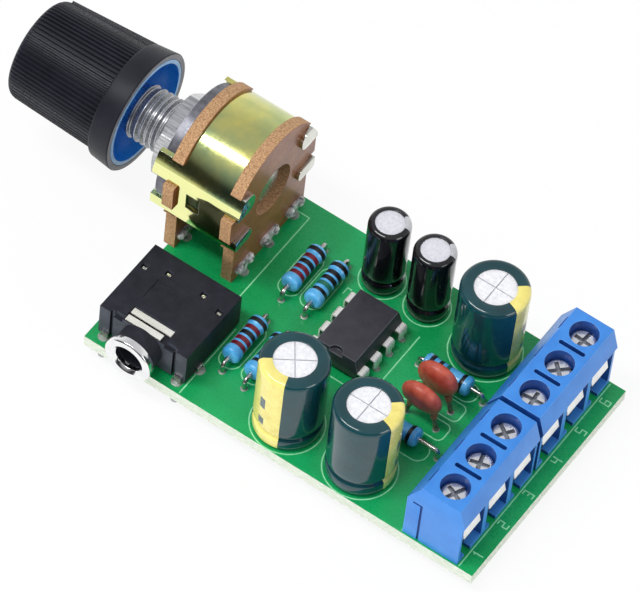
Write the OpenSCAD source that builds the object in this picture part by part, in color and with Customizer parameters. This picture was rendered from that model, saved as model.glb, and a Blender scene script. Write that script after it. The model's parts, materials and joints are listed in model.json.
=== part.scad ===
// Small stereo audio amplifier board: volume control with knob, input jack, screw terminals
// and through-hole parts on one circuit board. The layout is measured from the middle of the
// board's top face, with the knob on the -X side and the terminals on the +X side. The whole is
// then moved so that the origin lies under its middle, level with the clipped lead ends.

/* [Board] */
// Length of the board, along X
board_l = 53.4; // [50:0.1:70]
// Width of the board, along Y
board_w = 31.6; // [29:0.1:45]
// Thickness of the board
board_t = 1.6; // [0.8:0.1:2.4]
// Reach of the clipped leads below the board
lead_drop = 1.9; // [1.4:0.1:3]
// Radial play of a lead in its hole
hole_play = 0.12; // [0.05:0.01:0.3]
// Bare margin between the front edge and the front capacitors
front_margin = 0.3; // [0.1:0.1:1]
// Bare margin between the back edge and the rear capacitors
back_margin = 1.1; // [0.2:0.1:2]

/* [Amplifier chip] */
// Length of the moulded body
chip_l = 9.2; // [9:0.1:10]
// Width of the moulded body
chip_w = 6.3; // [6:0.1:6.8]
// Height of the body's top above the board
chip_top = 3.8; // [3.4:0.1:4.6]
// Thickness of the moulded body
chip_t = 3.2; // [2.8:0.1:3.3]
// Spacing of the leads along a side
chip_pitch = 2.54; // [2:0.01:2.54]
// Spacing of the two rows of leads
chip_row = 7.62; // [7.4:0.01:8.2]

/* [Electrolytic capacitors] */
// Diameter of a large capacitor over its sleeve
large_cap_d = 8.2; // [6:0.1:9.4]
// Height of a large capacitor above the board
large_cap_h = 12.6; // [9:0.1:20]
// Lead spacing of a large capacitor
large_cap_pitch = 3.5; // [2.5:0.1:4]
// Diameter of a small capacitor over its sleeve
small_cap_d = 5.1; // [4:0.1:6]
// Height of a small capacitor above the board
small_cap_h = 11.3; // [7:0.1:14]
// Lead spacing of a small capacitor
small_cap_pitch = 2.0; // [1.5:0.1:2.5]
// Thickness of the shrink sleeve
sleeve_t = 0.15; // [0.1:0.01:0.25]

/* [Resistors] */
// Diameter of a resistor at its bulged ends
resistor_d = 2.4; // [1.8:0.1:2.8]
// Length of a resistor's body
resistor_l = 6.3; // [5:0.1:7]
// Spacing of a resistor's two holes
resistor_pitch = 8.8; // [8.2:0.1:10]
// Spacing of the holes of the resistor between the front capacitor and the disc
long_pitch = 10.2; // [9.6:0.1:11]
// Diameter of the thin lead wire
wire_d = 0.56; // [0.4:0.02:0.7]

/* [Ceramic capacitors] */
// Diameter of the dipped disc
disc_d = 5.2; // [5:0.1:6]
// Thickness of the dipped disc
disc_t = 2.0; // [1.8:0.1:2.8]
// Spacing of the disc's two holes
disc_pitch = 4.2; // [2.5:0.1:4.3]
// Height of the disc's lower edge above the board
disc_lift = 2.7; // [1.8:0.1:4]

/* [Input jack] */
// Width of the housing, along X
jack_w = 12.1; // [11:0.1:14]
// Depth of the housing, along Y
jack_d = 10.8; // [10:0.1:12]
// Height of the housing's top above the board
jack_h = 5.1; // [5:0.1:6]
// Height of the plug's axis above the board
jack_axis_h = 2.9; // [2.8:0.05:3]
// Diameter of the plug bore
jack_bore_d = 3.6; // [3.5:0.05:3.7]
// Diameter of the moulded barrel
barrel_d = 5.5; // [5.2:0.1:5.6]
// Reach of the ring's face in front of the housing
barrel_l = 3.1; // [2.6:0.1:5]
// Diameter of the metal ring
ring_d = 6.2; // [5.8:0.1:7]
// Length of the metal ring
ring_l = 1.0; // [0.6:0.1:1.4]
// Distance of the housing from the board's left edge
jack_inset_x = 0.85; // [0.5:0.05:3]
// Distance of the housing from the board's front edge
jack_inset_y = 1.5; // [1:0.1:2]

/* [Screw terminals] */
// Spacing of the poles
pole_pitch = 5.08; // [4.9:0.01:5.2]
// Height of a terminal block
block_h = 10; // [9.6:0.1:12]
// Depth of a terminal block, along X
block_depth = 7.65; // [7.4:0.05:8.4]
// Gap between the two blocks
block_gap = 0.68; // [0.2:0.02:2]
// Distance of the blocks from the board's right edge
block_inset = 1.95; // [1:0.05:3]
// Diameter of the screw wells in the top
well_d = 3.5; // [3.4:0.05:3.8]
// Diameter of a screw head
head_d = 3.24; // [3:0.02:3.3]
// Diameter of a screw's thread
thread_d = 2.5; // [2.2:0.05:2.6]
// Travel of a screw and its wire guard from open to tight
clamp_travel = 2.0; // [1.2:0.1:2]
// Width of a wire entry
entry_w = 4.3; // [3.4:0.05:4.4]

/* [Volume control] */
// Height of the shaft's axis above the board
pot_axis_h = 10.3; // [9.8:0.1:12]
// Distance of the rear wafer's back from the board's left edge
pot_inset_x = 8.95; // [8:0.05:10]
// Distance of the shaft's axis from the board's back edge
pot_inset_y = 8.0; // [7:0.1:9]
// Diameter of the two wafers
wafer_d = 17.4; // [17.2:0.1:18]
// Width of a wafer across its flat sides
wafer_w = 17; // [16.6:0.1:17.2]
// Thickness of a wafer
wafer_t = 1.5; // [1:0.1:2]
// Width of a wafer's foot on the board
foot_w = 14.5; // [13.5:0.1:14.6]
// Diameter of the hole in the rear wafer
wafer_hole_d = 6.7; // [6.4:0.1:7]
// Length of the can between the wafers
can_l = 6.55; // [5.5:0.05:9]
// Diameter of the can's rounded top
can_d = 16.8; // [16.4:0.1:17]
// Width of the can across its flat sides
can_w = 15.8; // [15:0.1:16]
// Thickness of the can's sheet
can_t = 0.5; // [0.3:0.05:0.6]
// Diameter of the cast front plate
plate_d = 15.6; // [14.5:0.1:16.2]
// Thickness of the cast front plate
plate_t = 1.45; // [1.2:0.05:2]
// Diameter of the threaded bushing
bushing_d = 7; // [6.8:0.05:7.5]
// Length of the threaded bushing
bushing_l = 7.5; // [6:0.1:9]
// Spacing of the thread's ridges
thread_pitch = 0.75; // [0.5:0.05:1]
// Diameter of the shaft
shaft_d = 6; // [5.6:0.05:6.1]
// Width of the nut across its flats
nut_af = 10; // [9.5:0.1:12]
// Thickness of the nut
nut_t = 2.05; // [1.5:0.05:2.5]
// Diameter of the washer
washer_d = 12.9; // [12:0.1:14]
// Thickness of the washer
washer_t = 0.4; // [0.3:0.05:0.8]

/* [Knob] */
// Length of the knob
knob_l = 15.4; // [13:0.1:18]
// Diameter of the skirt at its open end
skirt_d = 15.5; // [15:0.1:17]
// Length of the smooth skirt
skirt_l = 3.0; // [2:0.1:4]
// Diameter of the grip beside the skirt
grip_d = 13.7; // [13.3:0.1:14.2]
// Diameter of the grip at its far end
grip_end_d = 12.8; // [11.5:0.1:13]
// Number of flutes round the grip
flutes = 72; // [36:1:84]
// Depth of a flute
flute_depth = 0.25; // [0.15:0.01:0.35]
// Length of bushing that the open end covers
knob_overlap = 0.65; // [0.3:0.05:1.5]
// Angle of the pointer rib at rest, from +Y towards +Z
pointer_angle = 31; // [-180:1:180]
// Outer diameter of the liner
liner_d = 13.9; // [13.2:0.1:14.2]
// Thickness of the liner's rim
liner_t = 0.5; // [0.4:0.05:0.8]
// Depth of the liner's cup
liner_depth = 4.2; // [3:0.1:5]

/* [Hidden] */
$fn = 64;
large_caps = 3;
small_caps = 2;
resistors = 6;
discs = 2;
blocks = 2;
block_poles = 3;
poles = blocks * block_poles;

// Clearances between pieces
slip = 0.05;
seat_gap = 0.1;
cut = 1;

// Edges of the board
left = -board_l / 2;
right = board_l / 2;
front = -board_w / 2;
back = board_w / 2;

// Chip: distances of its middle from the left and back edges
chip_x = 25.2;
chip_y = 13.6;
chip_at = [left + chip_x, back - chip_y];
chip_side_pins = 4;
chip_lead_t = 0.25;
chip_shoulder_w = 1.5;
chip_lead_w = 0.5;
chip_band = 0.3;
chip_draft = 0.5;
chip_shoulder_drop = 1.3;
chip_notch_r = 0.9;
chip_notch_depth = 0.6;
chip_mid = chip_top - chip_t * 0.55;
chip_pins = [for (side = [-1, 1], k = [0 : chip_side_pins - 1])
  chip_at + [side * chip_row / 2, (k - (chip_side_pins - 1) / 2) * chip_pitch]];

// The right-hand column runs from front to back with equal gaps:
// large capacitor, resistor, disc, disc, resistor, large capacitor
column_gaps = 5;
column_gap = (board_w - front_margin - back_margin - 2 * large_cap_d - 2 * resistor_d - 2 * disc_t)
  / column_gaps;
front_cap_y = front + front_margin + large_cap_d / 2;
rear_cap_y = back - back_margin - large_cap_d / 2;
front_resistor_y = front_cap_y + large_cap_d / 2 + column_gap + resistor_d / 2;
front_disc_y = front_resistor_y + resistor_d / 2 + column_gap + disc_t / 2;
rear_disc_y = front_disc_y + disc_t + column_gap;
rear_resistor_y = rear_cap_y - large_cap_d / 2 - column_gap - resistor_d / 2;

// Electrolytic capacitors: place, counted from the left edge, and direction of the leads
first_large_x = 25.2;
second_large_x = 35.2;
third_large_x = 37.5;
first_small_x = 22.5;
second_small_x = 28.75;
small_cap_inset = 1.65;
small_cap_y = back - small_cap_inset - small_cap_d / 2;
large_cap_at = [[left + first_large_x, front_cap_y], [left + second_large_x, front_cap_y],
  [left + third_large_x, rear_cap_y]];
large_cap_turn = [35, 90, 90];
small_cap_at = [[left + first_small_x, small_cap_y], [left + second_small_x, small_cap_y]];
bung_lift = 0.1;
bung_t = 0.5;
sleeve_lift = 0.3;
crimp_z = 2.3;
crimp_h = 1.1;
crimp_depth = 0.32;
shoulder_r = 0.7;
sleeve_lip = 1.6;
small_sleeve_lip = 0.8;
vent_w = 0.16;
vent_depth = 0.18;
cap_pins = concat(
  [for (i = [0 : large_caps - 1], s = [-1, 1])
    large_cap_at[i] + s * large_cap_pitch / 2 * heading(large_cap_turn[i])],
  [for (i = [0 : small_caps - 1], s = [-1, 1]) small_cap_at[i] + s * small_cap_pitch / 2 * heading(0)]);

// Resistors: place and direction. Four stand across the board, in a rear and a front pair, counted
// from the left edge and the nearer long edge; two lie along the right-hand column.
resistor_waist = 0.86;
resistor_lift = 0.3;
resistor_axis_h = resistor_d / 2 + resistor_lift;
lead_bend_r = 0.6;
rear_pair_x1 = 14.9;
rear_pair_x2 = 18.3;
rear_pair_y1 = 9.3;
rear_pair_y2 = 9.6;
front_pair_x1 = 15.3;
front_pair_x2 = 18.6;
front_pair_y1 = 10;
front_pair_y2 = 9.6;
front_resistor_x = 36.4;
rear_resistor_x = 36.9;
resistor_at = [[left + rear_pair_x1, back - rear_pair_y1], [left + rear_pair_x2, back - rear_pair_y2],
  [left + front_pair_x1, front + front_pair_y1], [left + front_pair_x2, front + front_pair_y2],
  [left + front_resistor_x, front_resistor_y], [left + rear_resistor_x, rear_resistor_y]];
resistor_turn = [90, 90, 90, 90, 0, 0];
// Spacing of each resistor's holes, and how far its body lies from their middle
front_body_shift = -0.75;
rear_body_shift = -0.5;
resistor_span = [for (i = [1 : resistors]) i == 5 ? long_pitch : resistor_pitch];
resistor_shift = [0, 0, 0, 0, front_body_shift, rear_body_shift];
resistor_pins = [for (i = [0 : resistors - 1], s = [-1, 1])
  resistor_at[i] + s * resistor_span[i] / 2 * heading(resistor_turn[i])];

// Ceramic discs, which lean forward on legs that spread towards the board
disc_x = 37;
disc_lean = [15, 8];
disc_leg_gap = 2.5;
disc_leg_sink = 1.1;
disc_neck_l = 1.3;
disc_neck_d = 1.25;
disc_leg_splay = atan2((disc_pitch - disc_leg_gap) / 2, disc_lift + disc_leg_sink);
disc_leg_l = (disc_lift + disc_leg_sink) / cos(disc_leg_splay);
disc_at = [[left + disc_x, front_disc_y], [left + disc_x, rear_disc_y]];
disc_pins = [for (p = disc_at, s = [-1, 1]) p + [s * disc_pitch / 2, 0]];

// Jack
jack_x = left + jack_inset_x + jack_w / 2;
jack_front = front + jack_inset_y;
jack_standoff = 0.25;
jack_bore_l = 11.6;
jack_window_w = 5.8;
jack_window_d = 2.3;
jack_window_floor = 4.5;
jack_spring_t = 0.25;
jack_spring_w = 0.85;
jack_spring_gap = 0.3;
jack_groove_w = 0.45;
jack_groove_x = 4.35;
jack_notch_w = 1.3;
jack_notch = 0.6;
jack_slot = 0.8;
jack_contact_w = 0.6;
jack_contact_t = 0.4;
jack_contact_sink = 0.3;
jack_line_w = 0.14;
jack_line_depth = 0.12;
jack_tail_w = 1.1;
jack_tail_t = 0.3;
jack_tail_h = 0.9;
// Contacts in the top slots, measured from the middle of the front face
outer_slot_x = 5.2;
outer_slot_y = 7.5;
inner_slot_x = 2.43;
inner_slot_y = 8.4;
jack_slot_at = [for (side = [-1, 1], p = [[outer_slot_x, outer_slot_y], [inner_slot_x, inner_slot_y]])
  [jack_x + side * p.x, jack_front + p.y]];
// Solder tails beside the housing: place and whether they lie along the front face
front_tail_x = 5.1;
side_tail_y = 2.7;
jack_tail_at = concat(
  [for (side = [-1, 1]) [jack_x + side * front_tail_x, jack_front - jack_tail_t / 2]],
  [[jack_x + jack_w / 2 + jack_tail_t / 2, jack_front + side_tail_y]]);
jack_tail_turn = [0, 0, 90];

// Screw terminals
block_l = block_poles * pole_pitch;
block_rear = right - block_inset - block_depth;
rear_slope_x = 1.7;
rear_slope_z = 3;
face_slope_x = 0.85;
face_slope_z = 2.8;
lip_x = 0.25;
lip_z = 0.7;
screw_inset = 4.4;
screw_x = block_rear + screw_inset;
cavity_w = 3.9;
clamp_w = cavity_w - 2 * seat_gap;
clamp_wall = 0.4;
clamp_l = 4.2;
clamp_back = 2.3;
clamp_x = screw_x - clamp_back;
clamp_lift = 0.15;
clamp_floor = 0.6;
clamp_roof = 0.8;
guard_t = 0.4;
sill_h = 0.6;
sill_foot = 0.95;
sill_notch_w = 1.25;
// Gap that is left for a wire when the guard is right down
wire_room = 1.4;
guard_z = sill_h + wire_room + clamp_travel;
clamp_roof_z = guard_z + guard_t + seat_gap;
clamp_roof_top = clamp_roof_z + clamp_roof;
head_t = 1.2;
head_z = clamp_roof_top + clamp_travel + seat_gap;
entry_drop = 0.1;
entry_top = block_h - face_slope_z - lip_z - entry_drop;
guard_play = 0.2;
guard_w = clamp_w - 2 * clamp_wall - 2 * guard_play;
guard_tail = 1.4;
flap_w = 3.3;
flap_lean = 0.5;
flap_x = block_rear + block_depth - lip_x - guard_t - slip;
entry_back = flap_x - flap_lean - seat_gap;
pilot_d = 1.4;
drive_w = 0.5;
first_drive_turn = 65;
drive_turn_step = 40;
drive_depth = 0.6;
top_slot_l = 3.5;
top_slot_w = 0.55;
top_slot_depth = 0.9;
end_groove_w = 0.3;
end_groove_depth = 0.2;
end_groove_x = 1.8;
end_groove_z = 6.8;
rear_notch_w = 1.9;
rear_notch_depth = 0.3;
rear_notch_h = 0.6;
clamp_pin_d = 1;
pole_y = [for (i = [0 : poles - 1])
  (i - (poles - 1) / 2) * pole_pitch + (i < block_poles ? -1 : 1) * block_gap / 2];
block_y = [for (b = [0 : blocks - 1]) pole_y[b * block_poles] - pole_pitch / 2];
clamp_pins = [for (y = pole_y) [screw_x, y]];

// Volume control: stations along the shaft, counted from the back of the rear wafer
pot_x = left + pot_inset_x;
pot_y = back - pot_inset_y;
can_u = wafer_t;
front_wafer_u = can_u + can_l;
plate_u = front_wafer_u + wafer_t;
washer_u = plate_u + plate_t;
nut_u = washer_u + washer_t;
bushing_end_u = washer_u + bushing_l;
knob_u = bushing_end_u - knob_overlap;
knob_end_u = knob_u + knob_l;
foot_shoulder = -3.6;
can_skirt = -3.2;
can_window_w = 1.8;
can_window_h = 2.5;
can_window_z = -0.5;
can_window_u = 4.9;
// Heights of the upper and lower tabs' edges, from the shaft's axis
tab_bands = [[2.3, 5.1], [-3.4, -1.7]];
rear_fold = 3.2;
front_fold = can_w / 2 - washer_d / 2 - seat_gap;
tab_reach = wafer_t + plate_t;
thread_depth = 0.4;
thread_start = 0.5;
rotor_d = 12.8;
rotor_t = 1.2;
rotor_gap = 0.5;
shaft_tail_d = 4.4;
shaft_tail_u = 0.9;
front_wafer_hole_d = shaft_d + 0.8;
terminal_w = 3.4;
terminal_h = 1.4;
terminal_z = 0.9;
terminal_t = 0.4;
terminal_pin_w = 0.9;
terminal_pitch = 5.08;
eyelet_d = 1.15;
eyelet_rise = 0.3;
eyelet_dent_d = 0.5;
pot_pins = [for (u = [0, front_wafer_u], k = [-1 : 1])
  [pot_x - u + terminal_t / 2, pot_y + k * terminal_pitch]];

// Knob
skirt_taper = 0.6;
knob_edge_r = 0.9;
pointer_w = 1.3;
pointer_rise = 0.55;
hub_d = 9;
hub_l = 12.4;
hub_flange = 0.8;
knob_wall = 1;
liner_lip = 0.8;
skirt_edge_r = 0.25;
shaft_end_gap = 1;
shaft_end_u = knob_u + hub_l - shaft_end_gap;

// Leads through the board: place, size across and diameter of the solder pad
thin_pad = 1.6;
thick_pad = 2.3;
all_leads = concat(
  [for (p = chip_pins) [p, lead_span(chip_lead_w, chip_lead_t), thin_pad]],
  [for (p = concat(cap_pins, resistor_pins, disc_pins)) [p, wire_d, thin_pad]],
  [for (p = jack_slot_at) [p, lead_span(jack_contact_w, jack_contact_t), thin_pad]],
  [for (p = jack_tail_at) [p, lead_span(jack_tail_w, jack_tail_t), thick_pad]],
  [for (p = clamp_pins) [p, clamp_pin_d, thick_pad]],
  [for (p = pot_pins) [p, lead_span(terminal_pin_w, terminal_t), thick_pad]]);

// Move from the board's own layout to the frame of the part
reach_low = [pot_x - knob_end_u, min(front, jack_front - barrel_l), -board_t - lead_drop];
reach_high = [right, max(back, pot_y + wafer_w / 2), 0];
to_frame = [-(reach_low.x + reach_high.x) / 2, -(reach_low.y + reach_high.y) / 2, -reach_low.z];

function heading(turn) = [cos(turn), sin(turn)];
function lead_span(w, t) = sqrt(w * w + t * t);
function arc(centre, r, from, to, steps) =
  [for (k = [0 : steps]) centre + r * heading(from + (to - from) * k / steps)];
// Smooth step from 0 to 1
function ease(t) = (1 - cos(180 * min(1, max(0, t)))) / 2;

module placed(at = [0, 0], z = 0, turn = 0) {
  translate(to_frame + [at.x, at.y, z]) rotate(turn) children();
}

// Children stand on the shaft's axis: local Z runs towards the knob, local X up and local Y back
module on_shaft(u = 0) {
  translate(to_frame + [pot_x - u, pot_y, pot_axis_h]) rotate([0, -90, 0]) children();
}

// Circuit board with a hole for every lead
module circuit_board() {
  color("seagreen") translate(to_frame) difference() {
    translate([left, front, -board_t]) cube([board_l, board_w, board_t]);
    for (l = all_leads)
      translate([l[0].x, l[0].y, -board_t - cut])
        cylinder(d = l[1] + 2 * hole_play, h = board_t + 2 * cut, $fn = 24);
  }
}

// One joint of solder with the clipped lead standing out of it
module solder_joint(lead_w, pad_d) {
  lead_r = lead_w / 2;
  fillet_h = min(pad_d * 0.5, lead_drop * 0.7);
  spread = pad_d / 2 - lead_r;
  tip = 0.1;
  flank = [for (k = [0 : 4]) [lead_r + spread * pow(1 - k / 4, 2), -fillet_h * k / 4]];
  rotate_extrude($fn = 24)
    polygon(concat([[0, 0]], flank,
      [[lead_r, tip - lead_drop], [lead_r - tip, -lead_drop], [0, -lead_drop]]));
}

module solder_joints() {
  color("silver") for (l = all_leads) placed(l[0], -board_t) solder_joint(l[1], l[2]);
}

// Moulded chip body: drafted above and below the band where the leads come out
module amplifier_chip() {
  color([0.13, 0.13, 0.14]) placed(chip_at) difference() {
    hull() {
      chip_slab(chip_top - chip_t, chip_draft);
      chip_slab(chip_mid - chip_band / 2, 0);
      chip_slab(chip_mid + chip_band / 2, 0);
      chip_slab(chip_top - 0.01, chip_draft);
    }
    translate([0, -chip_l / 2, chip_top - chip_notch_depth])
      cylinder(r = chip_notch_r, h = cut, $fn = 32);
  }
}

module chip_slab(z, inset) {
  translate([inset - chip_w / 2, inset * 0.4 - chip_l / 2, z])
    cube([chip_w - 2 * inset, chip_l - 0.8 * inset, 0.01]);
}

// Bent lead of the chip: wide shoulder above, narrow tail through the board
module chip_lead() {
  reach = chip_row / 2 + chip_lead_t / 2;
  bend = 0.4;
  rotate([90, 0, 0]) {
    linear_extrude(chip_shoulder_w, center = true) polygon(concat(
      [[chip_w / 2, chip_mid - chip_lead_t / 2], [chip_w / 2, chip_mid + chip_lead_t / 2]],
      arc([reach - bend, chip_mid + chip_lead_t / 2 - bend], bend, 90, 0, 6),
      [[reach, chip_mid - chip_shoulder_drop], [reach - chip_lead_t, chip_mid - chip_shoulder_drop],
        [reach - chip_lead_t, chip_mid - chip_lead_t / 2]]));
    translate([reach - chip_lead_t, -board_t]) linear_extrude(chip_lead_w, center = true)
      square([chip_lead_t, board_t + chip_mid - chip_shoulder_drop]);
  }
}

module chip_leads() {
  color("silver") for (side = [0, 1], k = [0 : chip_side_pins - 1])
    placed(chip_at + [0, (k - (chip_side_pins - 1) / 2) * chip_pitch])
      mirror([side, 0, 0]) chip_lead();
}

// Half outline of a capacitor from its base to the middle of its top, with the crimped neck
function cap_outline(r, base, top) = concat(
  [[0, base], [r - 0.25, base], [r, base + 0.25]],
  [for (k = [0 : 8])
    [r - crimp_depth * (1 - cos(360 * k / 8)) / 2, crimp_z + crimp_h * (k / 8 - 0.5)]],
  arc([r - shoulder_r, top - shoulder_r], shoulder_r, 0, 90, 6),
  [[0, top]]);

// Shrink sleeve, open at both ends, drawn in over the rim of the can
module cap_sleeve(d, h, lip) {
  rotate_extrude() difference() {
    polygon(cap_outline(d / 2, sleeve_lift, h));
    polygon(cap_outline(d / 2 - sleeve_t, sleeve_lift - cut, h - sleeve_t));
    square([d / 2 - lip, h + cut]);
  }
}

// Drawn aluminium can, with a score for the vent where the capacitor has one
module cap_can(d, h, vent_l) {
  can_r = d / 2 - sleeve_t - slip;
  can_top = h - sleeve_t - slip;
  difference() {
    rotate_extrude() polygon(cap_outline(can_r, bung_lift + bung_t + slip, can_top));
    if (vent_l > 0)
      for (turn = [0, 90])
        rotate(turn) translate([-vent_l / 2, -vent_w / 2, can_top - vent_depth])
          cube([vent_l, vent_w, cut]);
  }
}

module large_capacitor_sleeve(i) {
  color([0.05, 0.24, 0.25]) placed(large_cap_at[i - 1])
    cap_sleeve(large_cap_d, large_cap_h, sleeve_lip);
}

module large_capacitor_can(i) {
  color("gainsboro") placed(large_cap_at[i - 1], 0, large_cap_turn[i - 1])
    cap_can(large_cap_d, large_cap_h, large_cap_d - 2 * sleeve_lip);
}

module small_capacitor_sleeve(i) {
  color([0.08, 0.08, 0.1]) placed(small_cap_at[i - 1])
    cap_sleeve(small_cap_d, small_cap_h, small_sleeve_lip);
}

module small_capacitor_can(i) {
  color("gainsboro") placed(small_cap_at[i - 1]) cap_can(small_cap_d, small_cap_h, 0);
}

// Rubber bungs that close the cans below
module capacitor_bungs() {
  inset = 0.8;
  color([0.1, 0.1, 0.1]) {
    for (p = large_cap_at) placed(p, bung_lift) cylinder(d = large_cap_d - 2 * inset, h = bung_t);
    for (p = small_cap_at) placed(p, bung_lift) cylinder(d = small_cap_d - 2 * inset, h = bung_t);
  }
}

module capacitor_leads() {
  color("silver") for (p = cap_pins) placed(p, -board_t)
    cylinder(d = wire_d, h = board_t + bung_lift, $fn = 24);
}

// Resistor body: a slim waist between two bulged end caps
module resistor(i) {
  half = resistor_l / 2;
  cap_l = 1.5;
  edge = 0.45;
  r = resistor_d / 2;
  flank = [for (k = [0 : 6])
    [r * (1 - (1 - resistor_waist) * ease(k / 6)), half - cap_l * (0.6 + 0.4 * k / 6)]];
  side = concat([[wire_d / 2, half]], arc([r - edge, half - edge], edge, 90, 0, 5), flank);
  mirrored = [for (k = [len(side) - 1 : -1 : 0]) [side[k].x, -side[k].y]];
  color([0.25, 0.55, 0.8]) placed(resistor_at[i - 1], resistor_axis_h, resistor_turn[i - 1])
    translate([resistor_shift[i - 1], 0, 0]) rotate([0, 90, 0]) rotate_extrude($fn = 48)
      polygon(concat([[0, half]], side, mirrored, [[0, -half]]));
}

// Wire that runs out along X, bends down and ends level with the underside of the board
module bent_wire(reach, height) {
  rotate([0, 90, 0]) cylinder(d = wire_d, h = reach - lead_bend_r, $fn = 24);
  translate([reach - lead_bend_r, 0, -lead_bend_r]) rotate([90, 0, 0])
    rotate_extrude(angle = 90, $fn = 48) translate([lead_bend_r, 0]) circle(d = wire_d, $fn = 24);
  translate([reach, 0, -height - board_t])
    cylinder(d = wire_d, h = height + board_t - lead_bend_r, $fn = 24);
}

module resistor_leads() {
  color("silver") for (i = [0 : resistors - 1], side = [1, -1]) {
    body_end = resistor_l / 2 + side * resistor_shift[i];
    placed(resistor_at[i], resistor_axis_h, resistor_turn[i]) mirror([side < 0 ? 1 : 0, 0, 0])
      translate([body_end, 0, 0]) bent_wire(resistor_span[i] / 2 - body_end, resistor_axis_h);
  }
}

// Children stand on the board at a disc's hole and lean towards its middle, as its legs do
module along_disc_legs() {
  for (side = [-1, 1])
    translate([side * disc_pitch / 2, 0, 0]) rotate([0, -side * disc_leg_splay, 0]) children();
}

// Dipped disc: flat faces with a full round rim, and a neck of coating round each leg
module ceramic_capacitor(i) {
  rim = [for (k = [0 : 10]) let (a = 90 - 9 * k) [disc_d / 2 * sqrt(cos(a)), disc_t / 2 * sin(a)]];
  under = [for (k = [len(rim) - 2 : -1 : 0]) [rim[k].x, -rim[k].y]];
  seat = disc_lift + disc_leg_sink / 2;
  color([0.5, 0.16, 0.1]) placed(disc_at[i - 1]) difference() {
    union() {
      translate([0, 0, seat]) rotate([90 + disc_lean[i - 1], 0, 0])
        translate([0, disc_lift + disc_d / 2 - seat, 0]) rotate_extrude() polygon(concat(rim, under));
      along_disc_legs() translate([0, 0, disc_leg_l - disc_leg_sink / 2 - disc_neck_l])
        cylinder(d1 = wire_d + 4 * slip, d2 = disc_neck_d, h = disc_neck_l);
    }
    along_disc_legs() translate([0, 0, -cut])
      cylinder(d = wire_d + 2 * slip, h = cut + disc_leg_l + slip, $fn = 24);
  }
}

// Legs that rise straight out of the board and lean in to the disc
module ceramic_leads() {
  stub_d = wire_d + hole_play / 2;
  color([0.62, 0.58, 0.55]) for (p = disc_at) {
    placed(p) along_disc_legs() cylinder(d = wire_d, h = disc_leg_l, $fn = 24);
    for (side = [-1, 1]) placed(p + [side * disc_pitch / 2, 0], -board_t)
      cylinder(d = stub_d, h = board_t + wire_d / 2, $fn = 24);
  }
}

// Jack housing: a low box with a barrel, a window over the bore and slots for the contacts
module jack_housing() {
  barrel_out = barrel_l - ring_l;
  color([0.14, 0.14, 0.16]) placed([jack_x, jack_front]) difference() {
    union() {
      translate([-jack_w / 2, 0, jack_standoff]) cube([jack_w, jack_d, jack_h - jack_standoff]);
      translate([0, 0, jack_axis_h]) rotate([90, 0, 0]) cylinder(d = barrel_d, h = barrel_out);
      for (x = [-1, 1], y = [1.2, jack_d - 1.2])
        translate([x * (jack_w / 2 - 1.2), y, 0]) cylinder(d = 1.4, h = jack_standoff, $fn = 24);
    }
    translate([0, jack_bore_l - barrel_out, jack_axis_h]) rotate([90, 0, 0])
      cylinder(d = jack_bore_d, h = jack_bore_l + cut);
    translate([-jack_window_w / 2, 0.1, jack_window_floor]) cube([jack_window_w, jack_window_d, cut]);
    for (side = [-1, 1]) {
      translate([side * jack_groove_x - jack_groove_w / 2, -cut, 0])
        cube([jack_groove_w, cut + jack_groove_w, jack_h + cut]);
      translate([side * (jack_window_w + jack_notch_w) / 2, -cut, jack_h - jack_notch])
        translate([-jack_notch_w / 2, 0, 0]) cube([jack_notch_w, cut + jack_notch, cut]);
    }
    for (p = jack_slot_at)
      translate([p.x - jack_x - jack_slot / 2, p.y - jack_front - jack_slot / 2, -cut])
        cube([jack_slot, jack_slot, jack_h + 2 * cut]);
    translate([0, 0, jack_h - jack_line_depth]) jack_lines();
  }
}

// Fine moulded line on top of the housing
module jack_lines() {
  half = 2.95;
  rear = 6.95;
  run = 3.1;
  translate([-half, rear, 0]) cube([2 * half, jack_line_w, cut]);
  translate([-half, rear - run, 0]) cube([jack_line_w, run, cut]);
}

// Bright ring on the end of the barrel, with a flared mouth
module jack_ring() {
  flare = 0.4;
  edge = 0.15;
  bore = jack_bore_d / 2;
  color("gainsboro") placed([jack_x, jack_front - barrel_l], jack_axis_h) rotate([-90, 0, 0])
    rotate_extrude() polygon([[bore, ring_l], [bore, flare], [bore + flare, 0], [ring_d / 2 - edge, 0],
      [ring_d / 2, edge], [ring_d / 2, ring_l]]);
}

// Two sprung strips that lie in the window
module jack_springs() {
  long = jack_window_w - 2 * seat_gap;
  short = long - 0.7;
  z = jack_window_floor + 0.22;
  color("gainsboro") placed([jack_x, jack_front], z) {
    translate([-long / 2, jack_window_d - jack_spring_w, 0]) cube([long, jack_spring_w, jack_spring_t]);
    translate([-long / 2, jack_window_d - 2 * jack_spring_w - jack_spring_gap, 0])
      cube([short, jack_spring_w, jack_spring_t]);
  }
}

// Contact strips in the top slots and the solder tails beside the housing
module jack_contacts() {
  color("silver") {
    for (p = jack_slot_at) placed(p, -board_t)
      translate([-jack_contact_w / 2, -jack_contact_t / 2, 0])
        cube([jack_contact_w, jack_contact_t, board_t + jack_h - jack_contact_sink]);
    for (i = [0 : len(jack_tail_at) - 1]) placed(jack_tail_at[i], -board_t, jack_tail_turn[i])
      translate([-jack_tail_w / 2, -jack_tail_t / 2, 0])
        cube([jack_tail_w, jack_tail_t, board_t + jack_tail_h]);
  }
}

// Section of a terminal block, with the slope above the wire entries
block_section = [[0, 0], [0, block_h - rear_slope_z], [rear_slope_x, block_h],
  [block_depth - face_slope_x, block_h], [block_depth, block_h - face_slope_z],
  [block_depth - lip_x, block_h - face_slope_z - lip_z], [block_depth - lip_x, 0]];

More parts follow.
